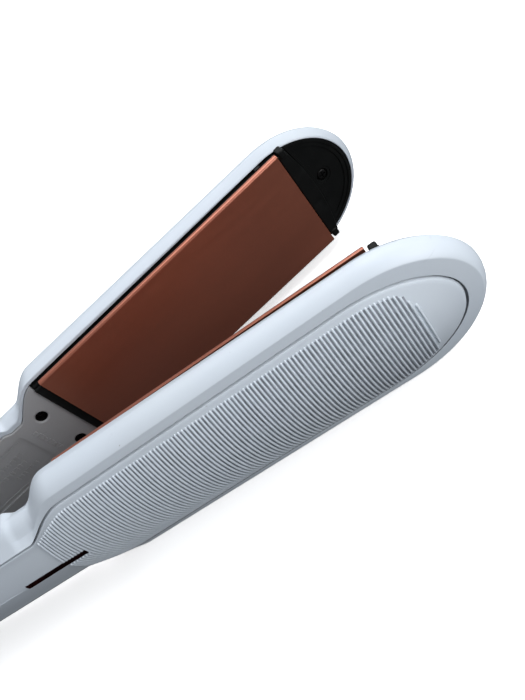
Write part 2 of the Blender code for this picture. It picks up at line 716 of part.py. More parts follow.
def make_tip_cap(arm, looks):
    """The D-shaped black cap that closes the tip of an arm."""
    side = SIDES[arm]
    centre = TIP - TIP_ROUND
    reach = TIP_ROUND - RIM_INSET - RIM_LIP - GAP
    half = BARREL_HALF_WIDTH - RIM_INSET - RIM_LIP - GAP
    first = math.acos((CAP_START - centre) / reach)
    outline = []
    for k in range(2 * TIP_STEPS + 1):
        angle = first * (1 - k / TIP_STEPS)
        outline.append(at(side, centre + reach * math.cos(angle), half * math.sin(angle), CAP_FACE_DEPTH))
    block = prism(outline, at(side, 0, 0, CAP_BACK_DEPTH - CAP_FACE_DEPTH))
    cap = add_object(f"{arm}_tip_cap", arm, block, looks["black_nylon"])
    recess = (CAP_FACE_DEPTH - OVERLAP, CAP_RECESS_FLOOR)
    cut(cap, depth_cylinder(side, CAP_SCREW_X, 0, RECESS_RADIUS, recess), "recess")
    hole = (CAP_RECESS_FLOOR - OVERLAP, CAP_BACK_DEPTH + OVERLAP)
    cut(cap, depth_cylinder(side, CAP_SCREW_X, 0, PILOT_RADIUS, hole), "hole")
    make_screw(f"{arm}_tip_screw", arm, CAP_SCREW_X, 0, CAP_RECESS_FLOOR, CAP_SCREW_LENGTH, looks)


def make_plate_carrier(arm, looks):
    """The black tray under the plate, with a bar across each end and two lugs at the tip."""
    side = SIDES[arm]
    top = PLATE_FACE_DEPTH + PLATE_THICKNESS + PLATE_FLOAT + GAP
    half = TRAY_HALF_WIDTH
    ends = (PLATE_START, PLATE_END)
    block = box(side, ends, (-half, half), (top, CARRIER_FLOOR_END))
    tray = add_object(f"{arm}_plate_carrier", arm, block, looks["black_nylon"])
    inside = (PLATE_START + CARRIER_WALL, PLATE_END - CARRIER_WALL)
    clear = half - CARRIER_WALL
    cut(tray, box(side, inside, (-clear, clear), (top - OVERLAP, CARRIER_FLOOR_START)), "pocket")
    rail_room = PLATE_FACE_DEPTH + PLATE_THICKNESS + RAIL_HEIGHT + PLATE_FLOAT + GAP
    whole = (PLATE_START - OVERLAP, PLATE_END + OVERLAP)
    cut(tray, box(side, whole, (-clear, clear), (top - OVERLAP, rail_room)), "rail_room")
    bar_depths = (BAR_FACE_DEPTH, BAR_BACK_DEPTH)
    hinge_bar = (HINGE_BAR_START, PLATE_START - BAR_GAP)
    tip_bar = (PLATE_END + BAR_GAP, TIP_BAR_END)
    widths = (-BAR_HALF_WIDTH, BAR_HALF_WIDTH)
    join(tray, box(side, hinge_bar, widths, bar_depths), "hinge_bar")
    join(tray, box(side, tip_bar, widths, bar_depths), "tip_bar")
    foot_depths = (rail_room, BAR_BACK_DEPTH - OVERLAP)
    hinge_foot = (PLATE_START - BAR_GAP - OVERLAP, PLATE_START + OVERLAP)
    tip_foot = (PLATE_END - OVERLAP, PLATE_END + BAR_GAP + OVERLAP)
    foot_widths = (-clear, clear)
    join(tray, box(side, hinge_foot, foot_widths, foot_depths), "hinge_foot")
    join(tray, box(side, tip_foot, foot_widths, foot_depths), "tip_foot")
    for name, sign in (("upper", 1), ("lower", -1)):
        outer = sign * (BAR_HALF_WIDTH - OVERLAP)
        lug = (outer - sign * LUG_WIDTH, outer)
        inset = (tip_bar[0] + GAP, tip_bar[1] - GAP)
        join(tray, box(side, inset, lug, (LUG_FACE_DEPTH, BAR_FACE_DEPTH + OVERLAP)), f"lug_{name}")


def plate_outline():
    """The section of a plate as (width, depth): a slab with round long edges and two rails under it."""
    face = PLATE_FACE_DEPTH
    back = face + PLATE_THICKNESS
    radius = PLATE_EDGE_RADIUS
    rail_outer = HEATER_HALF_WIDTH + GAP + RAIL_THICKNESS
    rail_inner = HEATER_HALF_WIDTH + GAP
    steps = 5
    edge = []
    for k in range(steps + 1):
        angle = 0.5 * math.pi * k / steps
        width = PLATE_HALF_WIDTH - radius + radius * math.sin(angle)
        edge.append((width, face + radius - radius * math.cos(angle)))
    half = [
        *edge,
        (PLATE_HALF_WIDTH, back),
        (rail_outer, back),
        (rail_outer, back + RAIL_HEIGHT),
        (rail_inner, back + RAIL_HEIGHT),
        (rail_inner, back),
    ]
    return half + [(-width, depth) for width, depth in reversed(half)]


def make_plate(arm, looks):
    """The heating plate and what is clipped under it; they float together."""
    side = SIDES[arm]
    frame = f"{arm}_plate_slide"
    outline = [at(side, PLATE_START, width, depth) for width, depth in plate_outline()]
    slab = prism(outline, Vector((PLATE_LENGTH, 0, 0)))
    plate = add_object(f"{arm}_plate", frame, slab, looks["copper_plate"])
    smooth(plate)
    back = PLATE_FACE_DEPTH + PLATE_THICKNESS
    heater_xs = (PLATE_START + HEATER_END_MARGIN, PLATE_END - HEATER_END_MARGIN)
    heater_depths = (back + GAP, back + GAP + HEATER_THICKNESS)
    heater_widths = (-HEATER_HALF_WIDTH, HEATER_HALF_WIDTH)
    add_object(f"{arm}_heater", frame, box(side, heater_xs, heater_widths, heater_depths), looks["ceramic"])
    make_heater_clip(arm, frame, heater_xs, heater_depths[1] + GAP, looks)
    make_sensor(SENSORS[arm], frame, side, SENSOR_WIDTH, back + GAP + SENSOR_RADIUS, looks)


def make_heater_clip(arm, frame, heater_xs, depth, looks):
    """A waved strip of spring steel that presses the heater to the plate."""
    side = SIDES[arm]
    steps = 8 * CLIP_WAVES
    length = heater_xs[1] - heater_xs[0] - 4 * CUSHION_LENGTH
    start = heater_xs[0] + 2 * CUSHION_LENGTH
    near = []
    far = []
    for k in range(steps + 1):
        x = start + length * k / steps
        rise = CLIP_RISE * (0.5 - 0.5 * math.cos(2 * math.pi * CLIP_WAVES * k / steps))
        near.append(at(side, x, -CLIP_HALF_WIDTH, depth + rise))
        far.append(at(side, x, -CLIP_HALF_WIDTH, depth + rise + CLIP_THICKNESS))
    strip = prism(near + far[::-1], Vector((0, 0, 2 * CLIP_HALF_WIDTH)))
    add_object(f"{arm}_heater_clip", frame, strip, looks["spring_steel"])


def make_sensor(name, frame, side, width, depth, looks):
    """A small round temperature part that lies along the back of the plate."""
    x = PLATE_START + 0.5 * PLATE_LENGTH
    outline = []
    for a, b in circle_points(SENSOR_RADIUS, SMALL_ROUND_STEPS):
        outline.append(at(side, x, width + a, depth + b))
    add_object(name, frame, prism(outline, Vector((SENSOR_LENGTH, 0, 0))), looks["ceramic"])


def make_cushions(arm, looks):
    """The two silicone blocks that let the plate float."""
    side = SIDES[arm]
    rail_end = PLATE_FACE_DEPTH + PLATE_THICKNESS + RAIL_HEIGHT
    depths = (rail_end + GAP, CARRIER_FLOOR_START - GAP)
    widths = (-CUSHION_HALF_WIDTH, CUSHION_HALF_WIDTH)
    margin = CARRIER_WALL + 2 * GAP
    places = {
        "hinge_end": (PLATE_START + margin, PLATE_START + margin + CUSHION_LENGTH),
        "tip_end": (PLATE_END - margin - CUSHION_LENGTH, PLATE_END - margin),
    }
    for place, xs in places.items():
        add_object(f"{arm}_cushion_{place}", arm, box(side, xs, widths, depths), looks["silicone"])


# The hinge


def make_hinge(looks):
    """The pin, its washers and caps, and the torsion spring that opens the arms."""
    pin = width_cylinder(PIN_RADIUS, (-PIN_HALF_LENGTH, PIN_HALF_LENGTH))
    add_object("hinge_pin", "main", pin, looks["spring_steel"])
    for name, sign in (("upper", 1), ("lower", -1)):
        near = sign * (HUB_HALF_WIDTH + GAP)
        far = sign * (KNUCKLE_START - GAP)
        inner = PIN_RADIUS + GAP
        ring = [(near, inner), (far, inner), (far, WASHER_RADIUS), (near, WASHER_RADIUS)]
        washer = turned(ring, ROUND_STEPS, along_hinge)
        add_object(f"hinge_washer_{name}", "main", washer, looks["black_nylon"])
        cap = width_cylinder(HINGE_CAP_RADIUS, (sign * HINGE_CAP_START, sign * HINGE_CAP_END))
        add_object(f"hinge_cap_{name}", "main", cap, looks["hinge_grey"])
    make_hinge_spring(looks)


def make_hinge_spring(looks):
    """A coil round the pin with one leg along each arm."""
    turn = 2 * math.pi * SPRING_TURNS - math.pi - OPEN_ANGLE
    pitch = 2 * (SPRING_SPACE - GAP - 2 * SPRING_WIRE) / turn
    start = -math.pi / 2
    points = [Vector((SPRING_LEG, -SPRING_RADIUS, -0.5 * pitch * turn))]
    steps = round(SPRING_STEPS * turn / (2 * math.pi))
    for k in range(steps + 1):
        swept = turn * k / steps
        angle = start - swept
        height = pitch * (swept - 0.5 * turn)
        points.append(Vector((SPRING_RADIUS * math.cos(angle), SPRING_RADIUS * math.sin(angle), height)))
    ahead = Vector((math.cos(OPEN_ANGLE), math.sin(OPEN_ANGLE), 0))
    points.append(points[-1] + ahead * SPRING_LEG)
    tube("hinge_spring", "main", points, SPRING_WIRE, looks["spring_steel"])


# The controls and the wires


def button_places():
    """Each button's name, place along the main arm and radius."""
    return [
        ("power_button", POWER_BUTTON_X, POWER_BUTTON_RADIUS),
        ("temperature_up_button", TEMPERATURE_UP_X, BUTTON_RADIUS),
        ("temperature_down_button", TEMPERATURE_DOWN_X, BUTTON_RADIUS),
    ]


def make_buttons(looks):
    """Round buttons that stand out of the inner cover, each held in by a flange."""
    side = SIDES["main"]
    back = COVER_FACE_DEPTH + COVER_THICKNESS
    for name, x, radius in button_places():
        origin = at(side, x, 0, BUTTON_FACE_DEPTH)
        body = depth_cylinder(side, x, 0, radius, (BUTTON_FACE_DEPTH, BUTTON_BACK_DEPTH), ROUND_STEPS)
        add_frame(f"{name}_slide", FRAMES["main"], origin)
        bmesh.ops.translate(body, verts=body.verts, vec=-origin)
        button = add_object(name, f"{name}_slide", body, looks["button_grey"])
        flange_depths = (back + GAP, back + GAP + BUTTON_FLANGE_THICKNESS)
        flange = depth_cylinder(side, x, 0, radius + BUTTON_FLANGE, flange_depths, ROUND_STEPS)
        bmesh.ops.translate(flange, verts=flange.verts, vec=-origin)
        join(button, flange, "flange")


def make_controls(looks):
    """The circuit board, the light bar and the smoked lens over it."""
    side = SIDES["main"]
    board_xs = (BOARD_START, BOARD_END)
    widths = (-BOARD_HALF_WIDTH, BOARD_HALF_WIDTH)
    board = box(side, board_xs, widths, (BOARD_DEPTH, BOARD_DEPTH + BOARD_THICKNESS))
    add_object("control_board", "main", board, looks["circuit_green"])
    bar_widths = (-LIGHT_BAR_HALF_WIDTH, LIGHT_BAR_HALF_WIDTH)
    bar_depths = (LIGHT_BAR_DEPTH, LIGHT_BAR_DEPTH + LIGHT_BAR_THICKNESS)
    bar_xs = (SLOT_START + SLOT_HALF_WIDTH, SLOT_END - SLOT_HALF_WIDTH)
    add_object("indicator_light_bar", "main", box(side, bar_xs, bar_widths, bar_depths), looks["light_bar"])
    flange_end = INNER_CROWN_DEPTH - 2 * GAP
    stem_depths = (flange_end - OVERLAP, ARM_DEPTH - LENS_RECESS)
    stem = slot_shape(side, SLOT_HALF_WIDTH, stem_depths, grow=-GAP)
    lens = add_object("indicator_lens", "main", stem, looks["smoked_red"])
    flange_depths = (flange_end - LENS_FLANGE_THICKNESS, flange_end)
    join(lens, slot_shape(side, SLOT_HALF_WIDTH, flange_depths, grow=LENS_FLANGE), "flange")


def make_cord_inlet(looks):
    """The turning inlet at the end of the main arm and the ring that keeps it in."""
    face = -MAIN_TAIL - 2 * GAP
    end = face - SWIVEL_LENGTH
    inside = -MAIN_TAIL + SWIVEL_INSIDE
    profile = [
        (inside, SWIVEL_BORE_RADIUS),
        (inside, SWIVEL_NECK_RADIUS),
        (face, SWIVEL_NECK_RADIUS),
        (face, SWIVEL_BOSS_RADIUS),
        (face - SWIVEL_COLLAR_LENGTH, SWIVEL_BOSS_RADIUS),
        (end, SWIVEL_END_RADIUS),
        (end, SWIVEL_BORE_RADIUS),
    ]
    axis = at(SIDES["main"], -MAIN_TAIL, 0, SWIVEL_DEPTH)
    add_frame("cord_inlet_turn", FRAMES["main"], axis)
    inlet = turned(profile, ROUND_STEPS, along_swivel)
    bmesh.ops.translate(inlet, verts=inlet.verts, vec=-axis)
    smooth(add_object("cord_inlet", "cord_inlet_turn", inlet, looks["black_nylon"]))
    near = -MAIN_TAIL + RETAINER_INSIDE
    far = near + RETAINER_THICKNESS
    inner = SWIVEL_NECK_RADIUS + GAP
    ring = [(near, inner), (near, RETAINER_RADIUS), (far, RETAINER_RADIUS), (far, inner)]
    keeper = turned(ring, ROUND_STEPS, along_swivel)
    bmesh.ops.translate(keeper, verts=keeper.verts, vec=-axis)
    add_object("cord_inlet_ring", "cord_inlet_turn", keeper, looks["spring_steel"])


def make_leads(looks):
    """The wires inside: supply to board, board to main heater, and hinge to clamp heater."""
    main = SIDES["main"]
    clamp = SIDES["clamp"]
    hub_clear = 0.5 * (HUB_RADIUS + INNER_CROWN_DEPTH) + 0.5 * SUPPLY_LEAD_RADIUS
    beside = LEDGE_HALF_WIDTH + SUPPLY_LEAD_RADIUS + 3 * GAP
    board_middle = BOARD_DEPTH + 0.5 * BOARD_THICKNESS
    supply = [
        at(main, SWIVEL_INSIDE + 2 * GAP - MAIN_TAIL, 0, SWIVEL_DEPTH),
        at(main, -0.5 * MAIN_TAIL, 0.4 * beside, 0.5 * (SWIVEL_DEPTH + hub_clear)),
        at(main, 0, 0.8 * beside, hub_clear),
        at(main, LEDGE_START - LEDGE_LENGTH, beside, hub_clear),
        at(main, LEDGE_START + 2 * LEDGE_LENGTH, beside, 0.5 * (hub_clear + board_middle)),
        at(main, BOARD_START - SUPPLY_LEAD_RADIUS, beside, board_middle),
    ]
    tube("supply_lead", "main", eased(supply), SUPPLY_LEAD_RADIUS, looks["lead_sleeve"])
    lead_depth = BOARD_DEPTH + BOARD_THICKNESS + LEAD_RADIUS + GAP
    lead_width = LIGHT_BAR_HALF_WIDTH + LEAD_RADIUS + 3 * GAP
    end = PLATE_START - 2 * GAP
    heater_lead = [
        at(main, BOARD_END - 4 * LEAD_RADIUS, lead_width, lead_depth),
        at(main, COVER_SCREW_X, lead_width, lead_depth),
        at(main, end, lead_width, 0.5 * (BAR_BACK_DEPTH + CARRIER_FLOOR_END) + LEAD_RADIUS),
    ]
    tube("main_heater_lead", "main", eased(heater_lead), LEAD_RADIUS, looks["lead_sleeve"])
    clamp_width = LEDGE_HALF_WIDTH + LEAD_RADIUS + 2 * GAP
    clamp_lead = [
        at(clamp, HUB_RADIUS + 4 * LEAD_RADIUS, clamp_width, hub_clear),
        at(clamp, LEDGE_START + 2 * LEDGE_LENGTH, clamp_width, lead_depth),
        at(clamp, 0.5 * HANDLE_LENGTH, clamp_width, lead_depth),
        at(clamp, COVER_SCREW_X, lead_width, lead_depth),
        at(clamp, end, lead_width, 0.5 * (BAR_BACK_DEPTH + CARRIER_FLOOR_END) + LEAD_RADIUS),
    ]
    tube("clamp_heater_lead", "clamp", eased(clamp_lead), LEAD_RADIUS, looks["lead_sleeve"])


# The whole object


def make_frames():
    """The empties: the whole iron, its two arms and the two plates that float in them."""
    whole = add_frame("iron", None)
    main = add_frame("main", whole)
    clamp = add_frame("clamp", whole, turn=OPEN_ANGLE)
    add_frame("main_plate_slide", main)
    add_frame("clamp_plate_slide", clamp)


def make_arm(arm, looks):
    """Every piece that both arms have."""
    make_outer_cover(arm, looks)
    make_inner_cover(arm, looks)
    make_tip_cap(arm, looks)
    make_plate_carrier(arm, looks)
    make_plate(arm, looks)
    make_cushions(arm, looks)
    for name, sign in (("upper", 1), ("lower", -1)):
        width = sign * COVER_SCREW_HALF_SPACING
        title = f"{arm}_cover_screw_{name}"
        make_screw(title, arm, COVER_SCREW_X, width, RECESS_FLOOR_DEPTH, SCREW_LENGTH, looks)


def stand_on_origin():
    """Moves the whole object so that the middle of its base is at the origin."""
    bpy.context.view_layer.update()
    graph = bpy.context.evaluated_depsgraph_get()
    corners = []
    for obj in bpy.data.objects:
        if obj.type != "EMPTY" and not obj.hide_render:
            shown = obj.evaluated_get(graph)
            mesh = shown.to_mesh()
            corners += [shown.matrix_world @ vertex.co for vertex in mesh.vertices]
            shown.to_mesh_clear()
    lows = [min(corner[axis] for corner in corners) for axis in range(3)]
    highs = [max(corner[axis] for corner in corners) for axis in range(3)]
    FRAMES["iron"].location = (-(lows[0] + highs[0]) / 2, -(lows[1] + highs[1]) / 2, -lows[2])
    bpy.context.view_layer.update()


def main():
    """Builds the hair straightener."""
    for obj in list(bpy.data.objects):
        bpy.data.objects.remove(obj)
    looks = make_finishes()
    make_frames()
    for arm in SIDES:
        make_arm(arm, looks)
    make_rear_cover(looks)
    make_hinge(looks)
    make_buttons(looks)
    make_controls(looks)
    make_cord_inlet(looks)
    make_leads(looks)
    stand_on_origin()


main()
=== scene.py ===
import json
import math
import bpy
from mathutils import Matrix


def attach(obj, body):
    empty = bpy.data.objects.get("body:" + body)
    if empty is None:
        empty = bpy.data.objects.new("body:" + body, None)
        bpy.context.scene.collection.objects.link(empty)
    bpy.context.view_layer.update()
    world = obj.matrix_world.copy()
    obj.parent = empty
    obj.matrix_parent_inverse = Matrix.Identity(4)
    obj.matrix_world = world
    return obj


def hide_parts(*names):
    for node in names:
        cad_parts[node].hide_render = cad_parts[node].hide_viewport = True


bl_info = {
    "name": "Hair Straightener",
    "version": (1, 0, 0),
    "blender": (4, 5, 0),
    "location": "3D View > Sidebar > Straightener",
    "description": "Dresses the frame of a wide-plate hair straightener, piece by piece",
    "category": "Add Mesh",
}

import bmesh
import bpy
from mathutils import Matrix, Vector

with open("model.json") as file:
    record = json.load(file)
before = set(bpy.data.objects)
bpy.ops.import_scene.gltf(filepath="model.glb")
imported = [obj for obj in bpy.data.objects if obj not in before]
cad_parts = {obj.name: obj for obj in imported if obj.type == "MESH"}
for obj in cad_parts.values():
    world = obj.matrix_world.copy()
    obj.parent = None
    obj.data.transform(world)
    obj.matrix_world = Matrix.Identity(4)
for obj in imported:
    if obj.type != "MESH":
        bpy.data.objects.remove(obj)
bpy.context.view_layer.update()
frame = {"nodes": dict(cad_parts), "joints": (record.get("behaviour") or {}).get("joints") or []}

MM = 0.001

# Places that the frame fixes. Along an arm x starts at the hinge axis, w is from its middle, d is outwards
# from the plane where the plates meet.
HINGE = Vector(next(joint["pos_m"] for joint in frame["joints"] if joint["name"] == "arm_hinge"))
OPEN_ANGLE = math.radians(13.0)
SIDES = {"main": -1, "clamp": 1}
TAILS = {"main": 30.0 * MM, "clamp": 15.0 * MM}
BODIES = {"main": "main_arm", "clamp": "clamp_arm"}
FLOATS = {"main": "main_plate_float", "clamp": "clamp_plate_float"}
TIP = 312.0 * MM
TIP_CENTRE = 280.0 * MM
TAIL_ROUND = 12.0 * MM
BARREL_END = 165.0 * MM
PLATE_XS = (164.0 * MM, 285.5 * MM)
BAR_XS = (159.9 * MM, 163.6 * MM)
TIP_BAR_XS = (285.9 * MM, 289.6 * MM)
LID_XS = (12.8 * MM, 159.6 * MM)
SCREW_X = 151.7 * MM
SCREW_W = 10.7 * MM
SCREW_HOLE = 1.3 * MM
TIP_SCREW_X = 297.4 * MM
SLOT_XS = (127.0 * MM, 154.5 * MM)
SLOT_HALF = 1.25 * MM
INLET_DEPTH = 11.0 * MM
KINK_X = 139.5 * MM
FLARE_X = 136.0 * MM
WALL = 2.2 * MM
GAP = 0.3 * MM
BUTTONS = {
    "power_button": 94.0 * MM,
    "temperature_up_button": 78.0 * MM,
    "temperature_down_button": 64.0 * MM,
}
BUTTON_BODIES = {
    "power_button": "power_key",
    "temperature_up_button": "temperature_up_key",
    "temperature_down_button": "temperature_down_key",
}


# Sizes and colours


def length(name, description, default):
    """A size in metres."""
    return bpy.props.FloatProperty(
        name=name, description=description, default=default, unit="LENGTH", precision=5
    )


def colour(name, description, default):
    """A colour."""
    return bpy.props.FloatVectorProperty(
        name=name, description=description, default=default, subtype="COLOR", min=0.0, max=1.0
    )


def number(name, description, default):
    """A plain number."""
    return bpy.props.FloatProperty(name=name, description=description, default=default)


class CoverSizes(bpy.types.PropertyGroup):
    """Sizes of the outer covers."""

    barrel: length("Barrel half width", "Half the width of an arm over its plate", 28.2 * MM)
    handle: length("Handle half width", "Half the width of an arm at its handle", 20.0 * MM)
    crown: length("Crown depth", "How far out the ridge of the cover lies", 22.0 * MM)
    groove_width: length("Groove width", "Half the width of the groove round the grip", 0.5 * MM)
    groove_depth: length("Groove depth", "Depth of the groove round the grip", 0.8 * MM)
    lip: length("Grip lip", "How far the grip panel stands above the groove", 0.2 * MM)
    bead: length("Handle bead", "Height of the fine line along the handle", 0.14 * MM)


class RibSizes(bpy.types.PropertyGroup):
    """Sizes of the grip ribs."""

    first: length("First rib", "Place of the rib nearest the hinge", 145.6 * MM)
    last: length("Last rib", "Place of the last full rib", 287.6 * MM)
    pitch: length("Pitch", "Distance from rib to rib", 1.365 * MM)
    width: length("Width", "Width of one rib", 0.9 * MM)
    height: length("Height", "Height of one rib", 0.58 * MM)
    margin: length("Margin", "Distance of the rib ends from the groove", 2.1 * MM)


class LidSizes(bpy.types.PropertyGroup):
    """Sizes of the inner covers."""

    face: length("Face depth", "Depth of the flat inner face", 3.2 * MM)
    thickness: length("Thickness", "Thickness of the inner cover", 1.7 * MM)
    panel_half: length("Panel half width", "Half the width of the sunk panel", 10.8 * MM)
    panel_depth: length("Panel depth", "How far the panel is sunk", 0.8 * MM)
    recess: length("Screw recess", "Radius of a screw recess", 2.45 * MM)
    mark_height: length("Mark height", "How far the moulded marks stand up", 0.24 * MM)


class PlateSizes(bpy.types.PropertyGroup):
    """Sizes of the heating plates."""

    half: length("Half width", "Half the width of a plate", 24.4 * MM)
    face: length("Face depth", "Depth of the working face", 0.15 * MM)
    thickness: length("Thickness", "Thickness of the plate", 1.9 * MM)
    edge: length("Edge rounding", "Radius along the long edges", 1.1 * MM)


class Finishes(bpy.types.PropertyGroup):
    """Colours of the finishes."""

    shell: colour("Shell", "Cool white moulded shell", (0.595, 0.66, 0.735))
    # Grime and painted shade: the groove floors and rib gaps take this darker tone as dust and as the shadow
    # down in them; the handling scuffs use it too.
    shell_grime_and_shade: colour("Shell grime", "Dust that collects in the grooves", (0.215, 0.232, 0.268))
    # The inner covers are the same white plastic as the shell; this grey is painted shade for the shade
    # between the arms.
    inner: colour("Inner covers", "Cool grey-white inside mouldings", (0.35, 0.354, 0.365))
    black: colour("Black nylon", "Heat-resistant black plastic", (0.005, 0.0055, 0.0055))
    copper: colour("Copper", "Coating of the plates", (0.45, 0.145, 0.085))
    button: colour("Buttons", "Soft grey buttons", (0.30, 0.32, 0.35))
    lens: colour("Lens", "Smoked red lens", (0.007, 0.0008, 0.0012))


class StageSettings(bpy.types.PropertyGroup):
    """Floor, lights and camera."""

    lens: number("Lens", "Focal length of the camera in mm", 31.9)
    top_light: number("Top light", "Power of the big light above, in watts", 7.45)
    front_light: number("Front light", "Power of the soft light in front, in watts", 1.4)
    tip_light: number("Tip light", "Power of the light beyond the tip, in watts", 1.4)
    sky: number("Sky", "Strength of the light from above the horizon", 0.34)
    ground: number("Ground", "Strength of the light from below the horizon", 0.08)


# Helpers for modelling


def start():
    """Nothing selected, in object mode."""
    if bpy.context.mode != "OBJECT":
        bpy.ops.object.mode_set(mode="OBJECT")
    bpy.ops.object.select_all(action="DESELECT")


def named(name):
    """The new primitive, with its place in its mesh and its proper name."""
    made = bpy.context.active_object
    bpy.ops.object.transform_apply(location=True, rotation=True, scale=True)
    made.name = name
    made.data.name = name
    return made


def edit(obj, kind="FACE"):
    """Edit mode on one object with nothing selected."""
    start()
    obj.select_set(True)
    bpy.context.view_layer.objects.active = obj
    bpy.ops.object.mode_set(mode="EDIT")
    bpy.ops.mesh.select_mode(type=kind)
    bpy.ops.mesh.select_all(action="DESELECT")


def pick_edges(test):
    """Selects the edges of the mesh in edit mode that pass a test on their two ends."""
    mesh = bpy.context.edit_object.data
    bm = bmesh.from_edit_mesh(mesh)
    for edge in bm.edges:
        edge.select_set(bool(test(edge.verts[0].co, edge.verts[1].co)))
    bmesh.update_edit_mesh(mesh)


def done():
    """Back to object mode."""
    bpy.ops.object.mode_set(mode="OBJECT")


def bevel_picked(offset, segments=3):
    """Rounds the picked edges."""
    bpy.ops.mesh.bevel(offset=offset, segments=segments, affect="EDGES", clamp_overlap=True)


def block(name, xs, ws, ds, edge=0.3 * MM, segments=3):
    """A block with rounded edges between pairs of x, w and d."""
    start()
    middle = [(pair[0] + pair[1]) / 2 for pair in (xs, ws, ds)]
    spans = [abs(pair[1] - pair[0]) for pair in (xs, ws, ds)]
    bpy.ops.mesh.primitive_cube_add(size=1.0, location=middle, scale=spans)
    made = named(name)
    if edge:
        edit(made, "EDGE")
        pick_edges(lambda a, b: True)
        bevel_picked(edge, segments)
        done()
    return made


def peg(name, x, w, radius, ds, edge=0.25 * MM, vertices=48):
    """A round peg along d with rounded rims."""
    start()
    height = abs(ds[1] - ds[0])
    bpy.ops.mesh.primitive_cylinder_add(
        vertices=vertices, radius=radius, depth=height, location=(x, w, (ds[0] + ds[1]) / 2)
    )
    made = named(name)
    if edge:
        edit(made, "EDGE")
        pick_edges(lambda a, b: abs(a.z - b.z) < 1e-7)
        bevel_picked(edge, 2)
        done()
    return made


def merge(obj, distance=1e-6):
    """Doubles merged and faces turned outwards."""
    edit(obj, "VERT")
    bpy.ops.mesh.select_all(action="SELECT")
    bpy.ops.mesh.remove_doubles(threshold=distance)
    bpy.ops.mesh.normals_make_consistent(inside=False)
    done()


def loft(name, rows, finishes=(), second=()):
    """A skin through rows of points, from a grid whose rows are moved to their places.

    The strips after the rows listed in second get the second of the finishes."""
    start()
    across, along = len(rows[0]), len(rows)
    bpy.ops.mesh.primitive_grid_add(x_subdivisions=across - 1, y_subdivisions=along - 1, size=1.0)
    made = named(name)
    made.data.vertices.foreach_set("co", [value for row in rows for point in row for value in point])
    for finish in finishes:
        made.data.materials.append(finish)
    for face in made.data.polygons:
        face.material_index = int(face.index // (across - 1) in second)
    merge(made)
    return made


def turned(name, profile, centre, axis, steps=64):
    """A ring spun round an axis from a closed profile of (along, radius)."""
    start()
    direction = Vector(axis).normalized()
    outwards = direction.orthogonal().normalized()
    bpy.ops.mesh.primitive_circle_add(vertices=len(profile), fill_type="NOTHING")
    made = named(name)
    points = [Vector(centre) + direction * along + outwards * radius for along, radius in profile]
    made.data.vertices.foreach_set("co", [value for point in points for value in point])
    edit(made, "VERT")
    bpy.ops.mesh.select_all(action="SELECT")
    bpy.ops.mesh.spin(steps=steps, angle=2 * math.pi, center=centre, axis=direction)
    done()
    merge(made, 1e-6)
    return made


def joined(name, parts):
    """Several objects made one, all with the finish of the first unless they have their own."""
    start()
    first = parts[0].data.materials
    for part in parts:
        if first and not part.data.materials:
            part.data.materials.append(first[0])
        part.select_set(True)
    bpy.context.view_layer.objects.active = parts[0]
    bpy.ops.object.join()
    made = bpy.context.active_object
    made.name = name
    made.data.name = name
    return made


def carve(obj, tool, operation="DIFFERENCE"):
    """Cuts a tool out of a piece, or joins it on, and removes the tool."""
    start()
    obj.select_set(True)
    bpy.context.view_layer.objects.active = obj
    modifier = obj.modifiers.new("carve", "BOOLEAN")
    modifier.operation = operation
    modifier.solver = "EXACT"
    modifier.object = tool
    bpy.ops.object.modifier_apply(modifier=modifier.name)
    bpy.data.objects.remove(tool)


def smooth(obj, angle=32.0, weighted=True):
    """Smooth shading that keeps the sharp edges, with the broad faces ruling the normals."""
    start()
    obj.select_set(True)
    bpy.context.view_layer.objects.active = obj
    bpy.ops.object.shade_smooth_by_angle(angle=math.radians(angle))
    if weighted:
        modifier = obj.modifiers.new("weighted", "WEIGHTED_NORMAL")
        modifier.keep_sharp = True
        modifier.weight = 60
        bpy.ops.object.modifier_apply(modifier=modifier.name)


def arm_matrix(arm):
    """From an arm's own frame (x, w, d) to the frame of the whole object."""
    turn = OPEN_ANGLE if arm == "clamp" else 0.0
    side = SIDES[arm]
    along = Vector((math.cos(turn), math.sin(turn), 0.0))
    out = Vector((-side * math.sin(turn), side * math.cos(turn), 0.0))
    rows = [(along[n], 1.0 if n == 2 else 0.0, out[n], HINGE[n]) for n in range(3)]
    return Matrix((*rows, (0.0, 0.0, 0.0, 1.0)))


def settle(obj, arm, body, look, nodes=(), angle=32.0, weighted=True):
    """Puts a finished piece in its place on its body, with its finish."""
    obj.data.transform(arm_matrix(arm))
    if SIDES[arm] > 0:
        obj.data.flip_normals()
    if look:
        obj.data.materials.clear()
        obj.data.materials.append(look)
    smooth(obj, angle, weighted)
    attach(obj, body)
    if nodes:
        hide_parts(*nodes)
    return obj


# Finishes


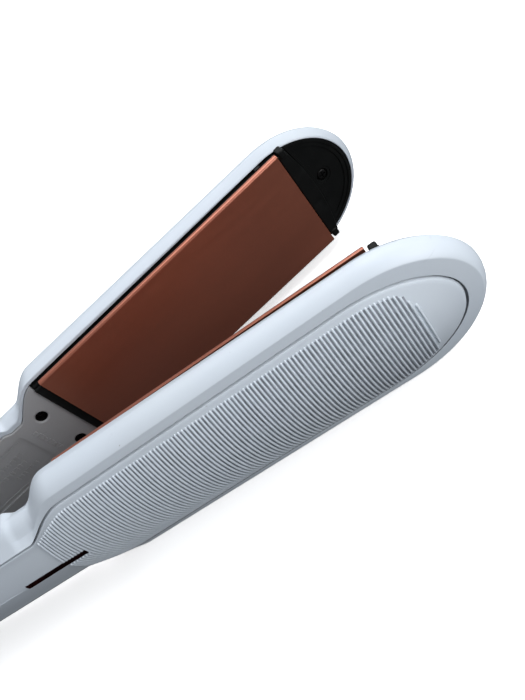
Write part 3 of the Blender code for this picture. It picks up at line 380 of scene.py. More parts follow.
class Look:
    """A material under construction, with its nodes laid out from left to right."""

    def __init__(self, name, colour, roughness, metallic=0.0):
        self.made = bpy.data.materials.new(name)
        self.made.use_nodes = True
        self.nodes = self.made.node_tree.nodes
        self.links = self.made.node_tree.links
        self.shader = self.nodes["Principled BSDF"]
        self.shader.inputs["Roughness"].default_value = roughness
        self.shader.inputs["Metallic"].default_value = metallic
        self.colour = tuple(colour)
        self.shader.inputs["Base Color"].default_value = (*self.colour, 1.0)
        self.made.diffuse_color = (*self.colour, 1.0)
        coordinates = self.nodes.new("ShaderNodeTexCoord")
        self.place = coordinates.outputs["Object"]
        self.tint = None
        self.bump = None

    def stretched(self, scale, turn=(0.0, 0.0, 0.0)):
        """Object coordinates stretched and turned."""
        mapping = self.nodes.new("ShaderNodeMapping")
        mapping.inputs["Scale"].default_value = scale
        mapping.inputs["Rotation"].default_value = turn
        self.links.new(self.place, mapping.inputs["Vector"])
        return mapping.outputs["Vector"]

    def noise(self, scale, detail=3.0, place=None, roughness=0.5):
        """A noise, in waves per metre."""
        made = self.nodes.new("ShaderNodeTexNoise")
        made.inputs["Scale"].default_value = scale
        made.inputs["Detail"].default_value = detail
        made.inputs["Roughness"].default_value = roughness
        self.links.new(place or self.place, made.inputs["Vector"])
        return made.outputs["Fac"]

    def ramp(self, value, low, high, from_value=0.0, to_value=1.0):
        """A value stretched between two limits."""
        made = self.nodes.new("ShaderNodeMapRange")
        made.inputs["From Min"].default_value = low
        made.inputs["From Max"].default_value = high
        made.inputs["To Min"].default_value = from_value
        made.inputs["To Max"].default_value = to_value
        self.links.new(value, made.inputs["Value"])
        return made.outputs["Result"]

    def mottle(self, share, other):
        """Another colour mixed in where a pattern is high."""
        made = self.nodes.new("ShaderNodeMix")
        made.data_type = "RGBA"
        made.inputs["A"].default_value = (*self.colour, 1.0)
        if self.tint:
            self.links.new(self.tint, made.inputs["A"])
        made.inputs["B"].default_value = (*other, 1.0)
        self.links.new(share, made.inputs["Factor"])
        self.tint = made.outputs["Result"]
        self.links.new(self.tint, self.shader.inputs["Base Color"])

    def relief(self, height, distance, strength=1.0):
        """A fine bump."""
        made = self.nodes.new("ShaderNodeBump")
        made.inputs["Distance"].default_value = distance
        made.inputs["Strength"].default_value = strength
        self.links.new(height, made.inputs["Height"])
        if self.bump:
            self.links.new(self.bump, made.inputs["Normal"])
        self.bump = made.outputs["Normal"]
        self.links.new(self.bump, self.shader.inputs["Normal"])

    def gloss(self, value, low, high, sharp, dull):
        """Roughness that follows a pattern."""
        self.links.new(self.ramp(value, low, high, sharp, dull), self.shader.inputs["Roughness"])


def scaled(colour, share):
    """A colour made lighter or darker."""
    return tuple(min(value * share, 1.0) for value in colour)


def white_shell(colours):
    """Satin white shell: faint clouding, fine mould grain, rare dark specks and handling marks."""
    look = Look("satin_white_shell", colours.shell, 0.42)
    clouds = look.noise(28.0, 4.0)
    look.mottle(look.ramp(clouds, 0.35, 0.7, 0.0, 0.35), scaled(colours.shell, 0.93))
    warm = look.noise(11.0, 2.0)
    look.mottle(look.ramp(warm, 0.45, 0.75, 0.0, 0.25), (0.62, 0.655, 0.66))
    specks = look.noise(640.0, 2.0)
    look.mottle(look.ramp(specks, 0.775, 0.80, 0.0, 0.5), (0.16, 0.15, 0.14))
    scuffs = look.noise(60.0, 6.0, look.stretched((1.0, 1.0, 7.0), (0.2, 0.5, 0.1)), 0.7)
    look.mottle(look.ramp(scuffs, 0.66, 0.74, 0.0, 0.22), scaled(colours.shell_grime_and_shade, 1.6))
    grain = look.noise(2600.0, 2.0)
    look.relief(grain, 0.03 * MM, 0.35)
    look.relief(clouds, 0.12 * MM, 0.15)
    look.gloss(look.noise(95.0, 4.0), 0.3, 0.7, 0.36, 0.5)
    return look.made


def groove_shell(colours, name, share):
    """The bottom of a groove or a rib gap: dust and painted shade, a darker tone that stands in for the
    shadow down in it, darker or lighter by a share.
    """
    tone = scaled(colours.shell_grime_and_shade, share)
    look = Look(name, tone, 0.65)
    look.mottle(look.ramp(look.noise(320.0, 4.0), 0.4, 0.7), scaled(tone, 0.6))
    look.relief(look.noise(2200.0, 2.0), 0.03 * MM, 0.4)
    return look.made


def shaded_inner_plastic(colours):
    """Matt moulded plastic of the inner covers, given a grey tone that paints the shade falling between the
    arms.
    """
    look = Look("matt_inner_cover_painted_shade", colours.inner, 0.55)
    look.mottle(look.ramp(look.noise(36.0, 5.0), 0.38, 0.7, 0.0, 0.5), scaled(colours.inner, 0.86))
    look.mottle(look.ramp(look.noise(260.0, 3.0), 0.72, 0.8, 0.0, 0.4), scaled(colours.inner, 0.55))
    look.relief(look.noise(2400.0, 3.0), 0.04 * MM, 0.5)
    look.gloss(look.noise(120.0, 3.0), 0.3, 0.7, 0.48, 0.66)
    return look.made


def black_nylon(colours):
    """Black heat-resistant plastic with a fine spark grain and lighter rubbed places."""
    look = Look("black_heat_nylon", colours.black, 0.42)
    look.shader.inputs["Specular IOR Level"].default_value = 0.16
    look.mottle(look.ramp(look.noise(140.0, 5.0), 0.55, 0.8, 0.0, 0.6), (0.012, 0.013, 0.0135))
    look.relief(look.noise(3200.0, 2.0), 0.05 * MM, 0.5)
    look.gloss(look.noise(180.0, 3.0), 0.3, 0.7, 0.3, 0.5)
    return look.made


def copper_coat(colours):
    """Satin rose-copper coating, brushed along the plate, with faint heat clouds."""
    look = Look("satin_copper_coat", colours.copper, 0.36, 0.72)
    look.shader.inputs["Coat Weight"].default_value = 0.7
    look.shader.inputs["Coat Roughness"].default_value = 0.22
    clouds = look.noise(22.0, 4.0, look.stretched((0.6, 0.6, 1.6)))
    look.mottle(look.ramp(clouds, 0.35, 0.72, 0.0, 0.6), scaled(colours.copper, 0.8))
    bands = look.noise(9.0, 2.0, look.stretched((3.0, 3.0, 0.1)))
    look.mottle(look.ramp(bands, 0.4, 0.7, 0.0, 0.35), (0.36, 0.13, 0.09))
    brushed = look.noise(60.0, 5.0, look.stretched((0.6, 6.0, 26.0)), 0.6)
    look.relief(brushed, 0.02 * MM, 0.35)
    specks = look.noise(900.0, 2.0)
    look.relief(specks, 0.012 * MM, 0.3)
    look.gloss(look.noise(70.0, 4.0, look.stretched((0.5, 2.0, 9.0))), 0.3, 0.7, 0.3, 0.42)
    return look.made


def steel(name, tone, roughness):
    """Drawn steel with fine lines."""
    look = Look(name, (tone, tone, tone * 1.02), roughness, 1.0)
    lines = look.noise(240.0, 4.0, look.stretched((0.3, 0.3, 6.0)))
    look.mottle(look.ramp(lines, 0.35, 0.7, 0.0, 0.6), (tone * 0.7, tone * 0.69, tone * 0.68))
    look.relief(lines, 0.01 * MM, 0.4)
    return look.made


def moulded(name, tone, roughness, dark=0.8, grain=2200.0, metallic=0.0):
    """A moulded or fired finish: clouded colour and a fine grain."""
    look = Look(name, tone, roughness, metallic)
    look.mottle(look.ramp(look.noise(90.0, 4.0), 0.35, 0.7, 0.0, 0.8), scaled(tone, dark))
    look.relief(look.noise(grain, 3.0), 0.04 * MM, 0.5)
    look.gloss(look.noise(200.0, 3.0), 0.3, 0.7, roughness * 0.85, min(roughness * 1.2, 1.0))
    return look.made


def woven_sleeve():
    """Woven glass sleeve over a wire."""
    look = Look("woven_glass_sleeve", (0.68, 0.66, 0.6), 0.75)
    weave = look.nodes.new("ShaderNodeTexWave")
    weave.inputs["Scale"].default_value = 700.0
    look.links.new(look.stretched((1.0, 1.0, 1.0), (0.0, 0.6, 0.8)), weave.inputs["Vector"])
    look.mottle(look.ramp(weave.outputs["Fac"], 0.3, 0.9, 0.0, 0.6), (0.42, 0.4, 0.36))
    look.relief(weave.outputs["Fac"], 0.08 * MM, 0.7)
    return look.made


def smoked_lens(colours):
    """Smoked red clear plastic, with a coat."""
    look = Look("smoked_red_lens", colours.lens, 0.5)
    look.shader.inputs["Specular IOR Level"].default_value = 0.12
    look.mottle(look.ramp(look.noise(160.0, 3.0), 0.45, 0.75, 0.0, 0.6), (0.03, 0.003, 0.004))
    look.relief(look.noise(900.0, 2.0), 0.01 * MM, 0.2)
    return look.made


def circuit_board():
    """Green lacquered board with lighter tracks."""
    look = Look("green_circuit_board", (0.03, 0.16, 0.08), 0.35)
    tracks = look.nodes.new("ShaderNodeTexBrick")
    tracks.inputs["Scale"].default_value = 110.0
    tracks.inputs["Mortar Size"].default_value = 0.06
    look.links.new(look.place, tracks.inputs["Vector"])
    look.mottle(tracks.outputs["Fac"], (0.06, 0.26, 0.13))
    look.relief(tracks.outputs["Fac"], 0.05 * MM, 0.5)
    return look.made


def floor_paper():
    """White paper of the studio floor."""
    look = Look("studio_paper", (0.93, 0.935, 0.94), 0.9)
    look.mottle(look.ramp(look.noise(3.0, 2.0), 0.3, 0.8, 0.0, 0.3), (0.95, 0.95, 0.955))
    look.shader.inputs["Emission Color"].default_value = (1.0, 1.0, 1.0, 1.0)
    look.shader.inputs["Emission Strength"].default_value = 0.55
    return look.made


def backdrop_paper():
    """Evenly lit pale paper behind the studio floor."""
    look = Look("studio_backdrop_paper", (0.0, 0.0, 0.0), 1.0)
    look.shader.inputs["Specular IOR Level"].default_value = 0.0
    look.shader.inputs["Emission Color"].default_value = (0.93, 0.945, 0.96, 1.0)
    look.shader.inputs["Emission Strength"].default_value = 0.95
    return look.made


LOOKS = {}


def look(name):
    """A finish of the object by its short name, made when it is first asked for."""
    colours = bpy.context.scene.straightener_finishes
    makers = {
        "shell": lambda: white_shell(colours),
        # The groove floors and rib gaps: dust and painted shade.
        "groove": lambda: groove_shell(colours, "groove_dust_and_painted_shade", 0.6),
        "gap": lambda: groove_shell(colours, "rib_gap_dust_and_painted_shade", 1.35),
        "inner": lambda: shaded_inner_plastic(colours),
        "black": lambda: black_nylon(colours),
        "copper": lambda: copper_coat(colours),
        "steel": lambda: steel("drawn_spring_steel", 0.55, 0.32),
        "dark_screw": lambda: steel("blackened_screw_steel", 0.03, 0.45),
        "ceramic": lambda: moulded("fired_ceramic", (0.80, 0.78, 0.72), 0.6),
        "silicone": lambda: moulded("red_silicone", (0.42, 0.15, 0.11), 0.7),
        "button": lambda: moulded("soft_grey_button", tuple(colours.button), 0.5),
        "hinge": lambda: moulded("satin_hinge_grey", (0.46, 0.49, 0.53), 0.34),
        "light": lambda: moulded("red_light_diffuser", (0.7, 0.11, 0.09), 0.4),
        "lens": lambda: smoked_lens(colours),
        "board": circuit_board,
        "sleeve": woven_sleeve,
        "paper": floor_paper,
        "backdrop": backdrop_paper,
    }
    if name not in LOOKS:
        LOOKS[name] = makers[name]()
    return LOOKS[name]


# The outline of an arm


def eased(value, low, high):
    """0 below one limit and 1 above the other, with an S-curve between."""
    share = min(max((value - low) / (high - low), 0.0), 1.0)
    return share * share * (3 - 2 * share)


def shoulder(value, low, high):
    """0 below one limit and 1 above the other, leaving the first quickly and easing into the second."""
    share = min(max((value - low) / (high - low), 0.0), 1.0)
    return math.sin(0.5 * math.pi * share) ** SHOULDER_POWER


class Line:
    """One line round an arm: half widths at the tip, the root of the barrel, the neck and the handle."""

    def __init__(self, halves, depths, tip, tail, centre=TIP_CENTRE, bend=(143.0 * MM, 163.0 * MM)):
        self.at_tip, self.at_root, self.at_neck, self.at_handle = halves
        self.deep_tip, self.deep_root, self.deep_handle = depths
        self.tip, self.tail, self.centre, self.bend = tip, tail, centre, bend

    def half(self, x):
        """Half the width at x, short of the tip's curve."""
        if x >= self.bend[1]:
            share = min(max((x - BARREL_END) / (275.0 * MM - BARREL_END), 0.0), 1.0)
            return self.at_root + (self.at_tip - self.at_root) * share
        if x >= KINK_X:
            return self.at_neck + (self.at_root - self.at_neck) * shoulder(x, *self.bend)
        return self.at_handle + (self.at_neck - self.at_handle) * eased(x, FLARE_X, KINK_X)

    def deep(self, x):
        """The depth at x."""
        if x >= self.bend[1]:
            share = min(max((x - BARREL_END) / (275.0 * MM - BARREL_END), 0.0), 1.0)
            return self.deep_root + (self.deep_tip - self.deep_root) * share
        return self.deep_handle + (self.deep_root - self.deep_handle) * eased(x, *self.bend)

    def points(self, tail):
        """The whole closed line, with the same count of points for every line."""
        line = []
        reach = TIP - self.tip - self.centre
        for k in range(TIP_STEPS + 1):
            angle = 0.5 * math.pi * k / TIP_STEPS
            x = self.centre + reach * math.cos(angle)
            line.append((x, self.half(self.centre) * math.sin(angle), self.deep(self.centre)))
        for k in range(1, BARREL_STEPS + 1):
            x = self.centre + (BARREL_END - self.centre) * k / BARREL_STEPS
            line.append((x, self.half(x), self.deep(x)))
        for k in range(1, NECK_STEPS + 1):
            x = BARREL_END + (NECK_START - BARREL_END) * k / NECK_STEPS
            line.append((x, self.half(x), self.deep(x)))
        rear = TAIL_ROUND - tail
        for k in range(1, HANDLE_STEPS + 1):
            x = NECK_START + (rear - NECK_START) * k / HANDLE_STEPS
            line.append((x, self.half(x), self.deep(x)))
        reach = TAIL_ROUND - self.tail
        for k in range(1, TAIL_STEPS + 1):
            angle = 0.5 * math.pi * (1 - k / TAIL_STEPS)
            line.append((rear - reach * math.cos(angle), self.at_handle * math.sin(angle), self.deep_handle))
        mirrored = [(x, -w, d) for x, w, d in line[-2:0:-1]]
        return [*line, *mirrored, line[0]]


TIP_STEPS = 20
BARREL_STEPS = 8
NECK_STEPS = 40
NECK_START = 133.0 * MM
HANDLE_STEPS = 10
TAIL_STEPS = 10
CROWN_STEPS = 12
RIDGE_POWER = 1.3
SHOULDER_POWER = 1.25
GROOVE_CENTRE = 270.5 * MM
SLIMMER = {"main": (0.0, 0.0), "clamp": (0.8 * MM, 1.4 * MM)}
CORNER_CUTS = {0: 3.4 * MM, 1: 1.5 * MM, 2: 0.5 * MM}


def lines(arm="main"):
    """The lines that rule a cover: seam, rim, widest, crease and groove. The clamp arm is slimmer."""
    sizes = bpy.context.scene.straightener_cover
    slim, thin = SLIMMER[arm]
    wide, handle = sizes.barrel, sizes.handle
    rim_depths = (4.7 * MM, 3.7 * MM, 4.0 * MM)
    return {
        "seam": Line(
            (wide - slim - 3.0 * MM, wide - 3.4 * MM, 14.5 * MM, handle - 3.9 * MM),
            rim_depths,
            3.0 * MM,
            WALL,
            bend=(144.5 * MM, 161.5 * MM),
        ),
        "rim": Line(
            (wide - slim - 2.6 * MM, wide - 2.0 * MM, 16.5 * MM, handle - 0.4 * MM),
            rim_depths,
            2.6 * MM,
            0.5 * MM,
            bend=(144.5 * MM, 161.5 * MM),
        ),
        "wide": Line(
            (wide - slim, wide - slim / 2, handle - 0.7 * MM, handle),
            (8.0 * MM, 8.0 * MM, 8.0 * MM),
            0.0,
            0.0,
            bend=(148.0 * MM, 164.0 * MM),
        ),
        "crease": Line(
            (wide - slim - 2.7 * MM, wide - slim - 3.5 * MM, handle - 4.6 * MM, handle - 3.4 * MM),
            (14.3 * MM - thin, 15.1 * MM - thin / 2, 14.6 * MM),
            2.9 * MM,
            1.0 * MM,
            centre=277.0 * MM,
            bend=(145.8 * MM, 163.5 * MM),
        ),
        "groove": Line(
            (wide - slim - 6.5 * MM, wide - 6.9 * MM, handle - 6.9 * MM, handle - 6.9 * MM),
            (15.1 * MM - thin / 2, 16.2 * MM, 18.0 * MM),
            9.0 * MM,
            3.0 * MM,
            centre=GROOVE_CENTRE,
            bend=(143.0 * MM, 163.5 * MM),
        ),
    }


def between(first, second, width_share, depth_share):
    """A row part of the way from one row to another."""
    row = []
    for a, b in zip(first, second):
        x = a[0] + (b[0] - a[0]) * width_share
        w = a[1] + (b[1] - a[1]) * width_share
        row.append((x, w, a[2] + (b[2] - a[2]) * depth_share))
    return row


def ridge_power(x):
    """How the crown falls from its ridge: a parabola over the barrel, nearly a roof on the handle."""
    return RIDGE_POWER + (2.0 - RIDGE_POWER) * eased(x, 143.0 * MM, 158.0 * MM)


def crown_row(edge, tail, share, top, lift=0.0):
    """One row of the crown, between the groove at share 1 and the ridge at share 0."""
    first = TAIL_ROUND - tail
    row = []
    for x, w, d in edge:
        middle = min(max(x, first), GROOVE_CENTRE)
        depth = top - (top - d) * share ** ridge_power(middle)
        row.append((middle + (x - middle) * share, w * share, depth + lift))
    return row


def crown_depth(x, w, groove, top):
    """The depth of the crown at a place, short of its groove."""
    if x > GROOVE_CENTRE:
        reach = TIP - groove.tip - GROOVE_CENTRE
        share = math.hypot((x - GROOVE_CENTRE) / reach, w / groove.half(GROOVE_CENTRE))
        edge = groove.deep(GROOVE_CENTRE)
    else:
        share = abs(w) / groove.half(x)
        edge = groove.deep(x)
    return top - (top - edge) * share ** ridge_power(x)


def shift(row, inwards):
    """A row drawn inwards, or outwards if the distance is negative, square to its own line."""
    moved = []
    count = len(row) - 1
    for n in range(count):
        before, after = row[n - 1 if n else count - 1], row[(n + 1) % count]
        tangent = Vector((after[0] - before[0], after[1] - before[1]))
        if tangent.length < 1e-9:
            tangent = Vector((0.0, 1.0))
        inward = Vector((-tangent.y, tangent.x)).normalized() * inwards
        moved.append((row[n][0] + inward.x, row[n][1] + inward.y, row[n][2]))
    return [*moved, moved[0]]


def at_depth(row, change):
    """A row moved in depth."""
    return [(x, w, d + change) for x, w, d in row]


def cover_rows(arm):
    """The rows of a cover, from the ridge outside, round the rim, to the ridge inside."""
    sizes = bpy.context.scene.straightener_cover
    tail = TAILS[arm]
    rule = {name: line.points(tail) for name, line in lines(arm).items()}
    top = sizes.crown
    outer = [shift(rule["rim"], 0.25 * MM)]
    outer.append(at_depth(rule["rim"], 0.05 * MM))
    for width_share, depth_share in ((0.14, 0.06), (0.36, 0.25), (0.68, 0.58), (0.9, 0.84), (1.0, 1.0)):
        outer.append(between(rule["rim"], rule["wide"], width_share, depth_share))
    last = math.radians(38.0)
    for k in range(1, 6):
        angle = last * k / 5
        share = (1 - math.cos(angle)) / (1 - math.cos(last))
        outer.append(between(rule["wide"], rule["crease"], share, math.sin(angle) / math.sin(last)))
    outer[-1] = between(outer[-2], outer[-1], 0.86, 0.86)
    outer.append(between(rule["crease"], rule["groove"], 0.07, 0.1))
    groove = rule["groove"]
    half = sizes.groove_width
    outer.append(between(rule["crease"], shift(groove, -half), 0.93, 0.93))
    outer.append(shift(at_depth(groove, -0.06 * MM), -half))
    brink = len(outer) - 1
    outer.append(shift(at_depth(groove, -sizes.groove_depth), -0.12 * MM))
    outer.append(shift(at_depth(groove, -sizes.groove_depth), 0.12 * MM))
    start_share = 0.974
    outer.append(crown_row(groove, tail, start_share + 0.008, top, sizes.lip * 0.4))
    outer.append(crown_row(groove, tail, start_share - 0.008, top, sizes.lip))
    outer.append(crown_row(groove, tail, start_share - 0.035, top, sizes.lip * 0.8))
    for k in range(1, CROWN_STEPS + 1):
        share = (start_share - 0.06) * (1 - k / CROWN_STEPS)
        outer.append(crown_row(groove, tail, share, top))
    seam = rule["seam"]
    inner = [at_depth(seam, 0.15 * MM), shift(at_depth(rule["wide"], -0.8 * MM), WALL)]
    inner.append(shift(rule["wide"], WALL))
    inner.append(at_depth(shift(rule["crease"], 0.8 * WALL), -0.8 * WALL))
    deep_groove = at_depth(shift(groove, 0.8 * WALL), -0.8 * WALL)
    inner.append(deep_groove)
    for share in (0.75, 0.5, 0.25, 0.0):
        inner.append(crown_row(deep_groove, tail, share, top - WALL))
    # The groove floor strips get the second finish: dust and painted shade for the shadow down in the
    # groove.
    dust_and_shade_rows = {len(outer) - 2 - brink, len(outer) - 3 - brink}
    return [*reversed(outer), *inner], dust_and_shade_rows


# The pieces


def make_cover(arm):
    """The long shell of one arm."""
    sizes = bpy.context.scene.straightener_cover
    rows, dust_and_shade_rows = cover_rows(arm)
    cover = loft(f"{arm}_cover_shell", rows, (look("shell"), look("groove"), look("lens")), dust_and_shade_rows)
    if arm == "main":
        slot_widths = (-SLOT_HALF, SLOT_HALF)
        carve(cover, block("slot_tool", SLOT_XS, slot_widths, (18.0 * MM, 24.0 * MM), 0.35 * MM))
        margin = 0.1 * MM
        for face in cover.data.polygons:
            x, w, d = face.center
            inside = SLOT_XS[0] - margin < x < SLOT_XS[1] + margin and abs(w) < SLOT_HALF + 0.05 * MM
            if inside and 19.0 * MM < d < 21.75 * MM:
                face.material_index = 2
        profile = [(0, 0), (0, 3.9 * MM), (8 * MM, 3.9 * MM), (8 * MM, 0)]
        carve(cover, turned("inlet_tool", profile, (-31 * MM, 0, INLET_DEPTH), (1, 0, 0)))
    else:
        for sign in (1, -1):
            low, high = sorted((sign * 10.9 * MM, sign * 29.0 * MM))
            profile = [(low, 0), (low, 11.7 * MM), (high, 11.7 * MM), (high, 0)]
            carve(cover, turned("eye_tool", profile, (0, 0, 0), (0, 1, 0)))
    parts = [cover, *hinge_eyes(arm)]
    if arm == "main":
        parts.append(handle_bead(sizes))
    whole = joined(f"{arm}_outer_cover_shell", parts)
    whole = settle(whole, arm, BODIES[arm], None, [f"{arm}_outer_cover"])
    return whole


BEAD_SECTION = (
    (-0.5, -0.35),
    (-0.22, 0.75),
    (0.0, 1.0),
    (0.22, 0.75),
    (0.5, -0.35),
    (0.0, -1.0),
    (-0.5, -0.35),
)


def handle_bead(sizes):
    """The fine raised line that runs along the handle from the end of the light slot."""
    groove = lines()["groove"]
    rows = []
    first, last = TAIL_ROUND - TAILS["main"], 126.4 * MM
    for k in range(25):
        x = first + (last - first) * k / 24
        tip = 0.2 if k in (0, 24) else 1.0
        row = []
        for w, rise in BEAD_SECTION:
            depth = crown_depth(x, w * MM, groove, sizes.crown)
            row.append((x, w * tip * MM, depth + rise * tip * sizes.bead))
        rows.append(row)
    middle = (rows[0][2][0] - 0.1 * MM, 0.0, sizes.crown - sizes.bead)
    end = (rows[-1][2][0] + 0.1 * MM, 0.0, sizes.crown - sizes.bead)
    around = len(BEAD_SECTION)
    return loft("handle_bead", [[middle] * around, *rows, [end] * around])


def eye_profile(start_w, end_w, radius, seat):
    """The section of a hinge eye, with rounded rims and a seat for its cap."""
    bore = 2.8 * MM
    edge = 0.5 * MM
    corner = 0.3 * edge
    profile = [(start_w, bore), (start_w, radius - edge), (start_w + corner, radius - corner)]
    profile += [(start_w + edge, radius), (end_w - edge, radius)]
    profile += [(end_w - corner, radius - corner), (end_w, radius - edge)]
    if seat:
        profile += [(end_w, seat), (end_w - 1.1 * MM, seat), (end_w - 1.1 * MM, bore)]
    else:
        profile.append((end_w, bore))
    return profile


def hinge_eyes(arm):
    """The round eyes of one arm on the hinge pin, with the webs that carry them."""
    parts = []
    spans = (11.2 * MM, 19.7 * MM) if arm == "main" else (4.6 * MM, 9.6 * MM)
    radius = 11.0 * MM if arm == "main" else 10.6 * MM
    seat = 6.9 * MM if arm == "main" else 0.0
    reach = radius - 1.2 * MM
    rear = reach if arm == "main" else 7.2 * MM
    web_top = 16.4 * MM if arm == "main" else 18.2 * MM
    for side in (1, -1):
        parts.append(turned(f"eye_{side}", eye_profile(*spans, radius, seat), (0, 0, 0), (0, side, 0)))
        low = spans[0] + 0.3 * MM
        high = 13.0 * MM if arm == "main" else spans[1] - 0.3 * MM
        widths = sorted((side * low, side * high))
        parts.append(block(f"web_{side}", (-rear, reach), widths, (4.0 * MM, web_top), 0.4 * MM, 2))
    return parts


RIB_SECTION = (
    (-0.5, -0.6),
    (-0.42, 0.35),
    (-0.2, 0.92),
    (0.0, 1.0),
    (0.2, 0.92),
    (0.42, 0.35),
    (0.5, -0.6),
    (-0.5, -0.6),
)


def rib(name, x, low, high, groove, sizes, top):
    """One grip rib across the crown, with rounded ends."""
    length = high - low
    steps = max(4, round(abs(length) / (2.4 * MM)))
    ends = [(0.0, -0.9), (0.08, 0.45), (0.26, 0.88), (0.6, 1.0)]
    stations = [(low + a * MM, rise) for a, rise in ends]
    stations += [(low + length * k / steps, 1.0) for k in range(1, steps)]
    stations += [(high - a * MM, rise) for a, rise in reversed(ends)]
    stations = [pair for pair in stations if low <= pair[0] <= high]
    rows = []
    for w, rise in sorted(stations):
        row = []
        narrow = 0.55 if rise < 0.5 else 1.0
        for across, up in RIB_SECTION:
            place = x + across * narrow * sizes.width
            base = crown_depth(place, w, groove, top)
            height = up * rise if up > 0 else up
            row.append((place, w, base + height * sizes.height))
        rows.append(row)
    caps = []
    for row in (rows[0], rows[-1]):
        middle = (x, row[0][1], min(point[2] for point in row))
        caps.append([middle] * len(row))
    return loft(name, [caps[0], *rows, caps[1]])


# The strips of dust and painted shade that darken the gaps between the ribs: how thick they are and how far
# they sink.
DUST_AND_SHADE_RISE = 0.07 * MM
DUST_AND_SHADE_SINK = 0.02 * MM


def gap_dust_and_shade_strip(name, x, low, high, groove, sizes, top):
    """The strip of the panel between one rib and the next: a darker sheet of dust and painted shade that
    stands in for the shadow in the gap.
    """
    steps = max(4, round((high - low) / (2.4 * MM)))
    side = (sizes.pitch - sizes.width) / 2 + 0.1 * MM
    rows = []
    for k in range(steps + 1):
        w = low + (high - low) * k / steps
        row = []
        for across, rise in ((-1, 0.0), (1, 0.0), (1, DUST_AND_SHADE_RISE), (-1, DUST_AND_SHADE_RISE), (-1, 0.0)):
            place = x + across * side
            row.append((place, w, crown_depth(place, w, groove, top) + rise - DUST_AND_SHADE_SINK))
        rows.append(row)
    caps = [[tuple(sum(part) / 4 for part in zip(*row[:4]))] * 5 for row in (rows[0], rows[-1])]
    return loft(name, [caps[0], *rows, caps[1]])


def make_ribs(arm):
    """The ribbed grip of one arm."""
    sizes = bpy.context.scene.straightener_ribs
    top = bpy.context.scene.straightener_cover.crown
    groove = lines(arm)["groove"]
    count = round((sizes.last - sizes.first) / sizes.pitch)
    parts = []
    gap_strips_dust_and_shade = []
    for k in range(count + 2):
        x = sizes.first + k * sizes.pitch
        half = groove.half(min(x, GROOVE_CENTRE))
        if x > GROOVE_CENTRE:
            reach = TIP - groove.tip - GROOVE_CENTRE
            half *= math.sqrt(max(1 - ((x - GROOVE_CENTRE) / reach) ** 2, 0.0))
        margin = sizes.margin + (0.9 * MM - sizes.margin) * (1 - eased(x, 144.0 * MM, 156.0 * MM))
        low, high = margin - half, half - margin
        high -= CORNER_CUTS.get(count - k, 0.0)
        if k == count + 1:
            low, high = -11.0 * MM, 10.5 * MM
        spans = [(low, high)]
        if arm == "main" and x < 155.0 * MM:
            spans = [(low, -1.3 * MM), (1.3 * MM, high)]
        for n, (a, b) in enumerate(spans):
            parts.append(rib(f"rib_{k}_{n}", x, a, b, groove, sizes, top))
            if k < count:
                ends = 0.55 * MM
                middle = x + sizes.pitch / 2
                gap_strips_dust_and_shade.append(gap_dust_and_shade_strip(f"dust_{k}_{n}", middle, a + ends, b - ends, groove, sizes, top))
    # The strips between the ribs: dust and painted shade.
    strips = joined(f"{arm}_grip_dust_and_shade_strips", gap_strips_dust_and_shade)
    settle(strips, arm, BODIES[arm], look("gap"), angle=60.0, weighted=False)
    whole = joined(f"{arm}_grip_ribs", parts)
    return settle(whole, arm, BODIES[arm], look("shell"), angle=60.0, weighted=False)


def lid_outline(xs, margin):
    """Half widths of an inner cover through the given x."""
    seam = lines()["seam"]
    return [(x, seam.half(x) - margin) for x in xs]


def slab(name, outline, ds, edge, segments=2):
    """A flat piece from a closed outline of (x, w), thickened, with its face edges rounded."""
    start()
    bpy.ops.mesh.primitive_circle_add(vertices=len(outline), fill_type="NGON")
    made = named(name)
    made.data.vertices.foreach_set("co", [value for x, w in outline for value in (x, w, ds[0])])
    edit(made)
    bpy.ops.mesh.select_all(action="SELECT")
    bpy.ops.mesh.extrude_region_move(TRANSFORM_OT_translate={"value": (0, 0, ds[1] - ds[0])})
    bpy.ops.mesh.select_all(action="SELECT")
    bpy.ops.mesh.normals_make_consistent(inside=False)
    if edge:
        bpy.ops.mesh.select_mode(type="EDGE")
        bpy.ops.mesh.select_all(action="DESELECT")
        low = min(ds)
        pick_edges(lambda a, b: abs(a.z - low) < 1e-6 and abs(b.z - low) < 1e-6)
        bevel_picked(edge, segments)
    done()
    return made


